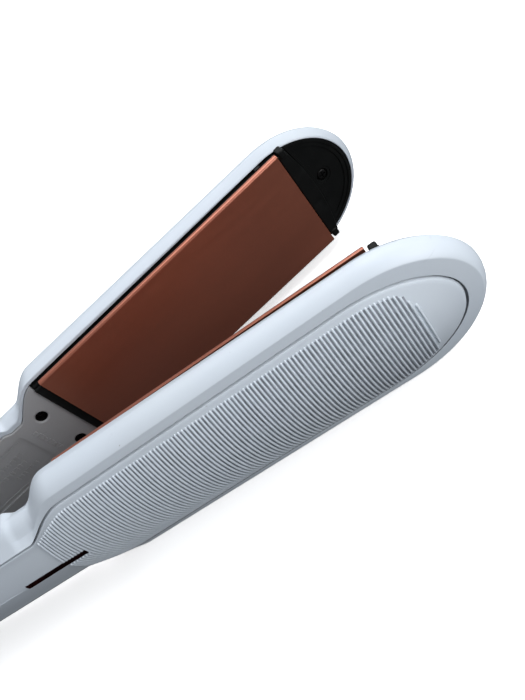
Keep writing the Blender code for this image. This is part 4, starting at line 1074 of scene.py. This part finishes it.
def make_lid(arm):
    """The inner cover of one arm: screw recesses, a sunk panel and moulded marks."""
    sizes = bpy.context.scene.straightener_lid
    steps = 48
    xs = [LID_XS[1] - (LID_XS[1] - 130.0 * MM) * k / steps for k in range(steps + 1)] + [LID_XS[0]]
    there = lid_outline(xs, GAP)
    outline = there + [(x, -w) for x, w in reversed(there)]
    back = sizes.face + sizes.thickness
    lid = slab(f"{arm}_lid", outline, (sizes.face, back), 0.35 * MM)
    for sign in (1, -1):
        w = sign * SCREW_W
        guide = peg("guide", SCREW_X, w, 3.5 * MM, (back - 0.6 * MM, 8.8 * MM), 0.0)
        carve(lid, guide, "UNION")
        wide = sizes.recess + 0.65 * MM
        profile = [(-0.3 * MM, 0), (-0.3 * MM, wide + 0.1 * MM), (0.0, wide)]
        profile += [(0.45 * MM, sizes.recess), (4.0 * MM, sizes.recess), (4.0 * MM, SCREW_HOLE)]
        profile += [(6.3 * MM, SCREW_HOLE), (6.3 * MM, 0)]
        carve(lid, turned("recess_tool", profile, (SCREW_X, w, sizes.face), (0, 0, 1), 48))
    panel = (-sizes.panel_half, sizes.panel_half)
    depths = (sizes.face - 2 * MM, sizes.face + sizes.panel_depth)
    carve(lid, block("panel_tool", (20.0 * MM, 139.8 * MM), panel, depths, 0.4 * MM))
    if arm == "main":
        for name, x in BUTTONS.items():
            radius = (5.3 if name == "power_button" else 4.3) * MM
            carve(lid, peg("button_tool", x, 0, radius, (1.0 * MM, 7.0 * MM), 0.0))
    lid.data.materials.append(look("inner"))
    lid.data.materials.append(look("black"))
    # The walls of the screw recesses take the black finish: painted shade for the deep holes.
    for face in lid.data.polygons:
        x, w, d = face.center
        reach = math.hypot(x - SCREW_X, abs(w) - SCREW_W)
        face.material_index = int(reach < sizes.recess + 0.05 * MM and d > sizes.face + 0.5 * MM)
    parts = [lid, *lid_marks(sizes)]
    whole = joined(f"{arm}_inner_cover_lid", parts)
    return settle(whole, arm, BODIES[arm], None, [f"{arm}_inner_cover"], angle=28.0)


def lid_marks(sizes):
    """Plain raised dashes where a moulder would put its marks, and the panel's fine border."""
    parts = []
    rise = sizes.mark_height
    face = (sizes.face - rise, sizes.face + 0.2 * MM)
    spans = [1.5, 1.0, 1.5, 1.2, 0.8, 1.5, 1.1, 1.4, 0.9]
    w = 8.2
    for n, span in enumerate(spans):
        high = w - 0.45
        w = high - span
        xs = (143.2 * MM, (145.4 if n % 3 else 145.0) * MM)
        parts.append(block(f"mark_a{n}", xs, (w * MM, high * MM), face, 0.04 * MM, 1))
    sunk = sizes.face + sizes.panel_depth
    low_face = (sunk - rise, sunk + 0.2 * MM)
    for row, middle in enumerate((4.2, 0.0, -4.2)):
        x = 134.0 - 2.4 * (row % 2)
        for n, span in enumerate((1.6, 1.2, 1.7, 1.0, 1.5, 1.2, 1.6, 0.9)[: 8 - row]):
            high = x - 0.7
            x = high - span
            widths = ((middle - 0.95) * MM, (middle + 0.95) * MM)
            parts.append(block(f"mark_b{row}_{n}", (x * MM, high * MM), widths, low_face, 0.04 * MM, 1))
    for sign in (1, -1):
        edge = sign * (sizes.panel_half - 1.5 * MM)
        widths = sorted((edge, edge - sign * 0.45 * MM))
        parts.append(block(f"rail_{sign}", (24.0 * MM, 137.0 * MM), widths, low_face, 0.04 * MM, 1))
    return parts


def make_rear_lid():
    """The short lid behind the hinge of the main arm."""
    sizes = bpy.context.scene.straightener_lid
    half = lines()["seam"].half(0.0) - GAP
    rear = GAP + WALL - TAILS["main"]
    centre = TAIL_ROUND - TAILS["main"]
    there = [(-LID_XS[0], half)]
    for k in range(12):
        angle = 0.5 * math.pi * k / 12
        there.append((centre - (centre - rear) * math.sin(angle), half * math.cos(angle)))
    outline = [*there, (rear, 0.0)] + [(x, -w) for x, w in reversed(there)]
    back = sizes.face + sizes.thickness
    lid = slab("rear_lid", outline, (sizes.face, back), 0.35 * MM)
    depths = (1 * MM, sizes.face + 0.5 * MM)
    carve(lid, block("rear_tool", (-24.5 * MM, -15.0 * MM), (-9 * MM, 9 * MM), depths, 0.4 * MM))
    return settle(lid, "main", "main_arm", look("inner"), ["main_rear_cover"])


def make_plate(arm):
    """The heating plate: long rounded edges, softened ends and the rails under it."""
    sizes = bpy.context.scene.straightener_plate
    back = sizes.face + sizes.thickness
    plate = block(f"{arm}_plate_skin", PLATE_XS, (-sizes.half, sizes.half), (sizes.face, back), 0.0)
    edit(plate, "EDGE")
    face = sizes.face
    pick_edges(lambda a, b: abs(a.z - face) < 1e-6 and abs(b.z - face) < 1e-6 and abs(a.x - b.x) > 0.1)
    bevel_picked(sizes.edge, 8)

    def at_end(first, second):
        return abs(first - second) < 1e-6 and min(abs(first - end) for end in PLATE_XS) < 1e-6

    pick_edges(lambda a, b: at_end(a.x, b.x) and min(a.z, b.z) < back - 1e-5)
    bevel_picked(0.22 * MM, 2)
    done()
    parts = [plate]
    for sign in (1, -1):
        inner = sign * 9.2 * MM
        widths = sorted((inner, inner + sign * 1.4 * MM))
        depths = (back - 0.3 * MM, back + 3.0 * MM)
        parts.append(block(f"rail_{sign}", PLATE_XS, widths, depths, 0.15 * MM, 1))
    whole = joined(f"{arm}_plate_coated", parts)
    return settle(whole, arm, FLOATS[arm], look("copper"), [f"{arm}_plate"], angle=40.0)


def make_carrier(arm):
    """The black tray under a plate, its end bars and the two lugs at the tip."""
    half = 22.3 * MM
    parts = []
    bar = block("hinge_bar", BAR_XS, (-half, half), (1.6 * MM, 9.0 * MM), 0.5 * MM)
    parts.append(bar)
    steps = 16
    arc = []
    for k in range(steps + 1):
        w = half * (1 - 2 * k / steps)
        arc.append((TIP_BAR_XS[1] - 0.1 * MM + 2.6 * MM * (1 - (w / half) ** 2), w))
    outline = [*arc, (TIP_BAR_XS[0], -half), (TIP_BAR_XS[0], half)]
    parts.append(slab("tip_bar", outline, (1.6 * MM, 9.0 * MM), 0.45 * MM, 3))
    tray_half = 23.4 * MM
    parts.append(block("tray_floor", PLATE_XS, (-tray_half, tray_half), (9.6 * MM, 11.2 * MM), 0.3 * MM))
    for sign in (1, -1):
        widths = sorted((sign * tray_half, sign * (tray_half - 2.0 * MM)))
        parts.append(block(f"cheek_{sign}", PLATE_XS, widths, (3.85 * MM, 10.8 * MM), 0.3 * MM))
        outer = sign * 24.3 * MM
        lug = sorted((outer, outer - sign * 3.8 * MM))
        parts.append(block(f"lug_{sign}", (286.4 * MM, 289.3 * MM), lug, (1.2 * MM, 5.4 * MM), 0.7 * MM, 4))
        foot = sorted((sign * 9.0 * MM, sign * 21.0 * MM))
        for end, xs in (("a", (163.0 * MM, 166.0 * MM)), ("b", (283.5 * MM, 286.5 * MM))):
            parts.append(block(f"foot_{end}{sign}", xs, foot, (7.1 * MM, 10.0 * MM), 0.2 * MM, 1))
        tab = sorted((sign * 22.9 * MM, sign * 24.4 * MM))
        corner = sorted((sign * 21.9 * MM, sign * 23.6 * MM))
        depths = (2.6 * MM, 8.0 * MM)
        parts.append(block(f"corner_{sign}", (160.2 * MM, 163.9 * MM), corner, depths, 0.5 * MM, 3))
        parts.append(block(f"clip_{sign}", (276.5 * MM, 279.0 * MM), tab, (3.0 * MM, 6.0 * MM), 0.3 * MM, 2))
    for n in range(5):
        x = PLATE_XS[0] + (n + 1) * (PLATE_XS[1] - PLATE_XS[0]) / 6
        xs = (x - 0.6 * MM, x + 0.6 * MM)
        ws = (-21.5 * MM, 21.5 * MM)
        parts.append(block(f"stiffener_{n}", xs, ws, (11.0 * MM, 12.0 * MM), 0.2 * MM, 1))
    whole = joined(f"{arm}_plate_carrier_tray", parts)
    return settle(whole, arm, BODIES[arm], look("black"), [f"{arm}_plate_carrier"])


def cap_outline(arm, margin):
    """The outline of a tip cap, drawn in by a margin all round: the tip's curve and a shallow hollow."""
    reach = TIP - 3.15 * MM - margin - TIP_CENTRE
    half = 25.0 * MM - SLIMMER[arm][0] - margin
    near = TIP_BAR_XS[1] + 0.4 * MM + margin
    first = math.acos((near - TIP_CENTRE) / reach)
    steps = 40
    outline = []
    for k in range(steps + 1):
        angle = first * (1 - 2 * k / steps)
        outline.append((TIP_CENTRE + reach * math.cos(angle), half * math.sin(angle)))
    edge_w = half * math.sin(first)
    for k in range(1, 12):
        w = -edge_w + 2 * edge_w * k / 12
        outline.append((near - 0.1 * MM + 2.5 * MM * (1 - (w / edge_w) ** 2), w))
    return outline


def make_tip_cap(arm):
    """The dished black cap that closes the tip, with its screw recess."""
    face = 4.9 * MM
    cap = slab(f"{arm}_cap", cap_outline(arm, 0.0), (face, 10.0 * MM), 0.35 * MM)
    carve(cap, slab("dish_tool", cap_outline(arm, 1.3 * MM), (face + 0.5 * MM, face - 1.0 * MM), 0.0))
    carve(cap, slab("pan_tool", cap_outline(arm, 2.9 * MM), (face + 1.0 * MM, face - 1.0 * MM), 0.0))
    carve(cap, peg("ring_tool", TIP_SCREW_X, 0, 3.6 * MM, (4.0 * MM, face + 1.4 * MM), 0.0))
    carve(cap, peg("recess_tool", TIP_SCREW_X, 0, 2.5 * MM, (4.0 * MM, 8.2 * MM), 0.0))
    carve(cap, peg("hole_tool", TIP_SCREW_X, 0, 1.3 * MM, (7.0 * MM, 11.0 * MM), 0.0))
    start()
    cap.select_set(True)
    bpy.context.view_layer.objects.active = cap
    modifier = cap.modifiers.new("soften", "BEVEL")
    modifier.width = 0.16 * MM
    modifier.segments = 2
    modifier.limit_method = "ANGLE"
    modifier.angle_limit = math.radians(50.0)
    bpy.ops.object.modifier_apply(modifier=modifier.name)
    return settle(cap, arm, BODIES[arm], look("black"), [f"{arm}_tip_cap"])


def make_screw(name, arm, x, w, floor, depth):
    """One pan-head screw with a cross recess, seen from the inner side of an arm."""
    head = floor - 0.3 * MM - 1.5 * MM
    body = peg(name, x, w, 2.1 * MM, (head, head + 1.5 * MM), 0.0, 40)
    edit(body, "EDGE")
    pick_edges(lambda a, b: abs(a.z - head) < 1e-6 and abs(b.z - head) < 1e-6)
    bevel_picked(0.6 * MM, 4)
    done()
    for turn in (0, 1):
        spans = [(-1.35 * MM, 1.35 * MM), (-0.28 * MM, 0.28 * MM)]
        along, across = spans[turn], spans[1 - turn]
        xs = (x + along[0], x + along[1])
        ws = (w + across[0], w + across[1])
        carve(body, block("cross_tool", xs, ws, (head - 0.5 * MM, head + 0.8 * MM), 0.0))
    depths = (head + 1.3 * MM, head + 1.5 * MM + depth - 0.3 * MM)
    shank = peg("shank", x, w, 1.0 * MM, depths, 0.2 * MM, 24)
    whole = joined(f"{name}_cross_head", [body, shank])
    return settle(whole, arm, BODIES[arm], look("dark_screw"), [name], angle=30.0)


def make_hinge_cap(name, side):
    """The round cap over one end of the hinge pin, with a ring turned into it."""
    low, high = 18.9 * MM, 20.2 * MM
    radius = 6.6 * MM
    profile = [(low, 0), (low, radius), (high - 0.4 * MM, radius), (high - 0.1 * MM, radius - 0.15 * MM)]
    profile += [(high, radius - 0.5 * MM), (high, 4.9 * MM), (high - 0.35 * MM, 4.6 * MM)]
    profile += [(high - 0.35 * MM, 4.2 * MM), (high, 3.9 * MM), (high + 0.05 * MM, 0)]
    cap = turned(f"{name}_turned", profile, (0, 0, 0), (0, side, 0), 72)
    return settle(cap, "main", "main_arm", look("hinge"), [name], angle=40.0)


def make_button(name, x):
    """A round dished button with a raised plain mark."""
    radius = (5.0 if name == "power_button" else 4.0) * MM
    face, back = 2.3 * MM, 7.9 * MM
    profile = [(back, 0), (back, radius), (face + 0.6 * MM, radius), (face + 0.15 * MM, radius - 0.15 * MM)]
    profile += [(face, radius - 0.6 * MM), (face + 0.05 * MM, radius - 1.1 * MM)]
    profile += [(face + 0.4 * MM, 0.4 * radius), (face + 0.45 * MM, 0)]
    body = turned(f"{name}_body", profile, (x, 0, 0), (0, 0, 1), 56)
    flange = peg("flange", x, 0, radius + 1.2 * MM, (5.2 * MM, 6.1 * MM), 0.15 * MM)
    parts = [body, flange]
    mark_face = (face + 0.22 * MM, face + 0.7 * MM)
    if name == "power_button":
        ring = [(0, 1.5 * MM), (0, 1.9 * MM), (0.5 * MM, 1.9 * MM), (0.5 * MM, 1.5 * MM)]
        parts.append(turned("ring", ring, (x, 0, mark_face[0]), (0, 0, 1), 40))
    else:
        thin, long = 0.22 * MM, 1.3 * MM
        parts.append(block("bar", (x - thin, x + thin), (-long, long), mark_face, 0.08 * MM, 1))
        if name == "temperature_up_button":
            parts.append(block("stroke", (x - long, x + long), (-thin, thin), mark_face, 0.08 * MM, 1))
    whole = joined(f"{name}_dished", parts)
    return settle(whole, "main", BUTTON_BODIES[name], look("button"), [name], angle=40.0)


def make_lens():
    """The smoked lens in the slot, on its flange under the crown."""
    top = bpy.context.scene.straightener_cover.crown
    xs = (SLOT_XS[0] + GAP, SLOT_XS[1] - GAP)
    half = SLOT_HALF - GAP
    stem = block("stem", xs, (-half, half), (18.6 * MM, top - 1.0 * MM), 0.25 * MM)
    xs = (SLOT_XS[0] - 1.2 * MM, SLOT_XS[1] + 1.2 * MM)
    flange = block("lens_flange", xs, (-2.6 * MM, 2.6 * MM), (18.2 * MM, 19.1 * MM), 0.2 * MM)
    whole = joined("indicator_lens_smoked", [stem, flange])
    return settle(whole, "main", "main_arm", look("lens"), ["indicator_lens"])


def make_inlet():
    """The turning cord inlet: a collar and a grooved taper."""
    profile = [(8.0, 2.3), (8.0, 3.6), (-0.6, 3.6), (-0.6, 5.4), (-1.0, 5.8), (-4.6, 5.8), (-5.0, 5.6)]
    for n in range(5):
        start_at = 5.4 + 1.75 * n
        thick = 5.55 - 0.19 * n
        thin = thick - 0.35
        profile += [(-start_at, thin), (-start_at - 0.5, thin)]
        profile += [(-start_at - 0.7, thick), (-start_at - 1.5, thick - 0.1)]
    profile += [(-14.3, 4.5), (-14.6, 4.2), (-14.6, 2.3)]
    scaled_profile = [(along * MM, radius * MM) for along, radius in profile]
    centre = (-TAILS["main"], 0.0, INLET_DEPTH)
    inlet = turned("cord_inlet_grooved", scaled_profile, centre, (1, 0, 0), 64)
    return settle(inlet, "main", "inlet", look("black"), ["cord_inlet"], angle=30.0)


def dress(node, finish):
    """A new finish on a node of the frame."""
    obj = frame["nodes"][node]
    obj.data.materials.clear()
    obj.data.materials.append(look(finish))


# The operators


class STRAIGHTENER_OT_outer_covers(bpy.types.Operator):
    """Models the two long outer covers with their grooves and hinge eyes"""

    bl_idname = "straightener.outer_covers"
    bl_label = "Outer covers"

    def execute(self, context):
        for arm in SIDES:
            make_cover(arm)
        return {"FINISHED"}


class STRAIGHTENER_OT_grip_ribs(bpy.types.Operator):
    """Models the ribbed grips"""

    bl_idname = "straightener.grip_ribs"
    bl_label = "Grip ribs"

    def execute(self, context):
        for arm in SIDES:
            make_ribs(arm)
        return {"FINISHED"}


class STRAIGHTENER_OT_inner_covers(bpy.types.Operator):
    """Models the inner covers"""

    bl_idname = "straightener.inner_covers"
    bl_label = "Inner covers"

    def execute(self, context):
        for arm in SIDES:
            make_lid(arm)
        make_rear_lid()
        return {"FINISHED"}


class STRAIGHTENER_OT_plates(bpy.types.Operator):
    """Models the heating plates and the trays that carry them"""

    bl_idname = "straightener.plates"
    bl_label = "Heating plates"

    def execute(self, context):
        for arm in SIDES:
            make_plate(arm)
            make_carrier(arm)
        return {"FINISHED"}


class STRAIGHTENER_OT_tip_caps(bpy.types.Operator):
    """Models the black caps that close the tips"""

    bl_idname = "straightener.tip_caps"
    bl_label = "Tip caps"

    def execute(self, context):
        for arm in SIDES:
            make_tip_cap(arm)
        return {"FINISHED"}


class STRAIGHTENER_OT_screws(bpy.types.Operator):
    """Models the six screws that show in their recesses"""

    bl_idname = "straightener.screws"
    bl_label = "Screws"

    def execute(self, context):
        for arm in SIDES:
            make_screw(f"{arm}_tip_screw", arm, TIP_SCREW_X, 0.0, 8.2 * MM, 5.0 * MM)
            for name, sign in (("upper", 1), ("lower", -1)):
                make_screw(f"{arm}_cover_screw_{name}", arm, SCREW_X, sign * SCREW_W, 7.2 * MM, 7.0 * MM)
        return {"FINISHED"}


class STRAIGHTENER_OT_hinge(bpy.types.Operator):
    """Models the hinge caps and finishes the pin, the washers and the spring"""

    bl_idname = "straightener.hinge"
    bl_label = "Hinge"

    def execute(self, context):
        for name, side in (("hinge_cap_upper", 1), ("hinge_cap_lower", -1)):
            make_hinge_cap(name, side)
        dress("hinge_pin", "steel")
        dress("hinge_spring", "steel")
        for name in ("hinge_washer_upper", "hinge_washer_lower"):
            dress(name, "black")
        return {"FINISHED"}


class STRAIGHTENER_OT_controls(bpy.types.Operator):
    """Models the buttons and the smoked lens, and finishes the board and light bar under them"""

    bl_idname = "straightener.controls"
    bl_label = "Controls"

    def execute(self, context):
        for name, x in BUTTONS.items():
            make_button(name, x)
        make_lens()
        dress("control_board", "board")
        dress("indicator_light_bar", "light")
        return {"FINISHED"}


class STRAIGHTENER_OT_cord_inlet(bpy.types.Operator):
    """Models the turning cord inlet at the end of the main arm"""

    bl_idname = "straightener.cord_inlet"
    bl_label = "Cord inlet"

    def execute(self, context):
        make_inlet()
        dress("cord_inlet_ring", "steel")
        return {"FINISHED"}


class STRAIGHTENER_OT_inside(bpy.types.Operator):
    """Finishes the parts inside the arms: heaters, clips, sensors, cushions and leads"""

    bl_idname = "straightener.inside"
    bl_label = "Inside parts"

    def execute(self, context):
        for arm in SIDES:
            dress(f"{arm}_heater", "ceramic")
            dress(f"{arm}_heater_clip", "steel")
            dress(f"{arm}_cushion_hinge_end", "silicone")
            dress(f"{arm}_cushion_tip_end", "silicone")
            dress(f"{arm}_heater_lead", "sleeve")
        dress("main_thermistor", "ceramic")
        dress("clamp_thermal_fuse", "ceramic")
        dress("supply_lead", "sleeve")
        return {"FINISHED"}


def area_light(name, place, aim, size, power):
    """A soft square light at a place, aimed at a point."""
    start()
    bpy.ops.object.light_add(type="AREA", location=place)
    made = bpy.context.active_object
    made.name = name
    made.data.size = size
    made.data.energy = power
    made.rotation_euler = (Vector(aim) - Vector(place)).to_track_quat("-Z", "Y").to_euler()
    return made


class STRAIGHTENER_OT_stage(bpy.types.Operator):
    """Lays the pale floor, hangs the soft lights and sets the camera"""

    bl_idname = "straightener.stage"
    bl_label = "Stage"

    def execute(self, context):
        settings = context.scene.straightener_stage
        start()
        below = (0, 0, -0.4 * MM)
        bpy.ops.mesh.primitive_grid_add(x_subdivisions=24, y_subdivisions=24, size=6.0, location=below)
        floor = named("studio_floor")
        floor.data.materials.append(look("paper"))
        floor.visible_diffuse = False
        floor.visible_glossy = False
        hang_backdrop()
        aim = HINGE + Vector((0.17, 0.0, 0.0))
        area_light("top_light", aim + Vector((0.25, 0.32, 0.86)), aim, 0.9, settings.top_light)
        grip = aim + Vector((0.12, 0.0, 0.0))
        area_light("front_light", aim + Vector((0.4, -0.29, 0.2)), grip, 0.3, settings.front_light)
        area_light("tip_light", aim + Vector((0.9, -0.1, 0.45)), aim, 0.6, settings.tip_light)
        world = context.scene.world or bpy.data.worlds.new("studio")
        context.scene.world = world
        world.use_nodes = True
        light_world(world.node_tree, settings)
        place_camera(context, settings)
        context.scene.view_settings.view_transform = "Standard"
        return {"FINISHED"}


def hang_backdrop():
    """A pale dome far behind everything, seen only by the camera."""
    start()
    bpy.ops.mesh.primitive_uv_sphere_add(segments=48, ring_count=24, radius=6.0, location=(0, 0, 0))
    dome = named("studio_backdrop")
    dome.data.flip_normals()
    dome.data.materials.append(look("backdrop"))
    dome.visible_diffuse = False
    dome.visible_glossy = False
    dome.visible_transmission = False
    dome.visible_shadow = False


def light_world(tree, settings):
    """Cool light from above the horizon, and less from below it."""
    sky = tree.nodes["Background"]
    sky.inputs["Color"].default_value = (0.92, 0.95, 1.0, 1.0)
    coordinates = tree.nodes.new("ShaderNodeTexCoord")
    parts = tree.nodes.new("ShaderNodeSeparateXYZ")
    tree.links.new(coordinates.outputs["Generated"], parts.inputs["Vector"])
    level = tree.nodes.new("ShaderNodeMapRange")
    level.inputs["From Min"].default_value = -0.15
    level.inputs["From Max"].default_value = 0.15
    level.inputs["To Min"].default_value = settings.ground
    level.inputs["To Max"].default_value = settings.sky
    tree.links.new(parts.outputs["Z"], level.inputs["Value"])
    tree.links.new(level.outputs["Result"], sky.inputs["Strength"])


def place_camera(context, settings):
    """The camera above the tip, rolled so that the arms run up to the right."""
    right = Vector((0.811, -0.271, -0.519)).normalized()
    forward = Vector((-0.218, 0.684, -0.697)).normalized()
    up = right.cross(forward).normalized()
    right = forward.cross(up).normalized()
    place = HINGE + Vector((0.2849, -0.1351, 0.1486))
    bpy.ops.object.camera_add(location=place)
    camera = context.active_object
    camera.name = "camera"
    turn = Matrix((right, up, -forward)).transposed()
    camera.rotation_euler = turn.to_euler()
    camera.data.sensor_width = 36.0
    camera.data.lens = settings.lens
    camera.data.clip_start = 0.01
    context.scene.camera = camera


STEPS = (
    STRAIGHTENER_OT_outer_covers,
    STRAIGHTENER_OT_grip_ribs,
    STRAIGHTENER_OT_inner_covers,
    STRAIGHTENER_OT_plates,
    STRAIGHTENER_OT_tip_caps,
    STRAIGHTENER_OT_screws,
    STRAIGHTENER_OT_hinge,
    STRAIGHTENER_OT_controls,
    STRAIGHTENER_OT_cord_inlet,
    STRAIGHTENER_OT_inside,
    STRAIGHTENER_OT_stage,
)

GROUPS = {
    "straightener_cover": CoverSizes,
    "straightener_ribs": RibSizes,
    "straightener_lid": LidSizes,
    "straightener_plate": PlateSizes,
    "straightener_finishes": Finishes,
    "straightener_stage": StageSettings,
}


class STRAIGHTENER_PT_panel(bpy.types.Panel):
    """The steps and the sizes of the straightener"""

    bl_idname = "STRAIGHTENER_PT_panel"
    bl_label = "Hair straightener"
    bl_space_type = "VIEW_3D"
    bl_region_type = "UI"
    bl_category = "Straightener"

    def draw(self, context):
        for step in STEPS:
            self.layout.operator(step.bl_idname)
        for name, group in GROUPS.items():
            box = self.layout.box()
            for prop in group.__annotations__:
                box.prop(getattr(context.scene, name), prop)


def register():
    """Registers the sizes, the steps and the panel."""
    for name, group in GROUPS.items():
        bpy.utils.register_class(group)
        setattr(bpy.types.Scene, name, bpy.props.PointerProperty(type=group))
    for step in STEPS:
        bpy.utils.register_class(step)
    bpy.utils.register_class(STRAIGHTENER_PT_panel)


def unregister():
    """Takes them all away again."""
    bpy.utils.unregister_class(STRAIGHTENER_PT_panel)
    for step in reversed(STEPS):
        bpy.utils.unregister_class(step)
    for name, group in GROUPS.items():
        delattr(bpy.types.Scene, name)
        bpy.utils.unregister_class(group)


def main():
    """Makes every piece in order."""
    register()
    for step in STEPS:
        group, name = step.bl_idname.split(".")
        getattr(getattr(bpy.ops, group), name)()


if __name__ == "__main__":
    main()
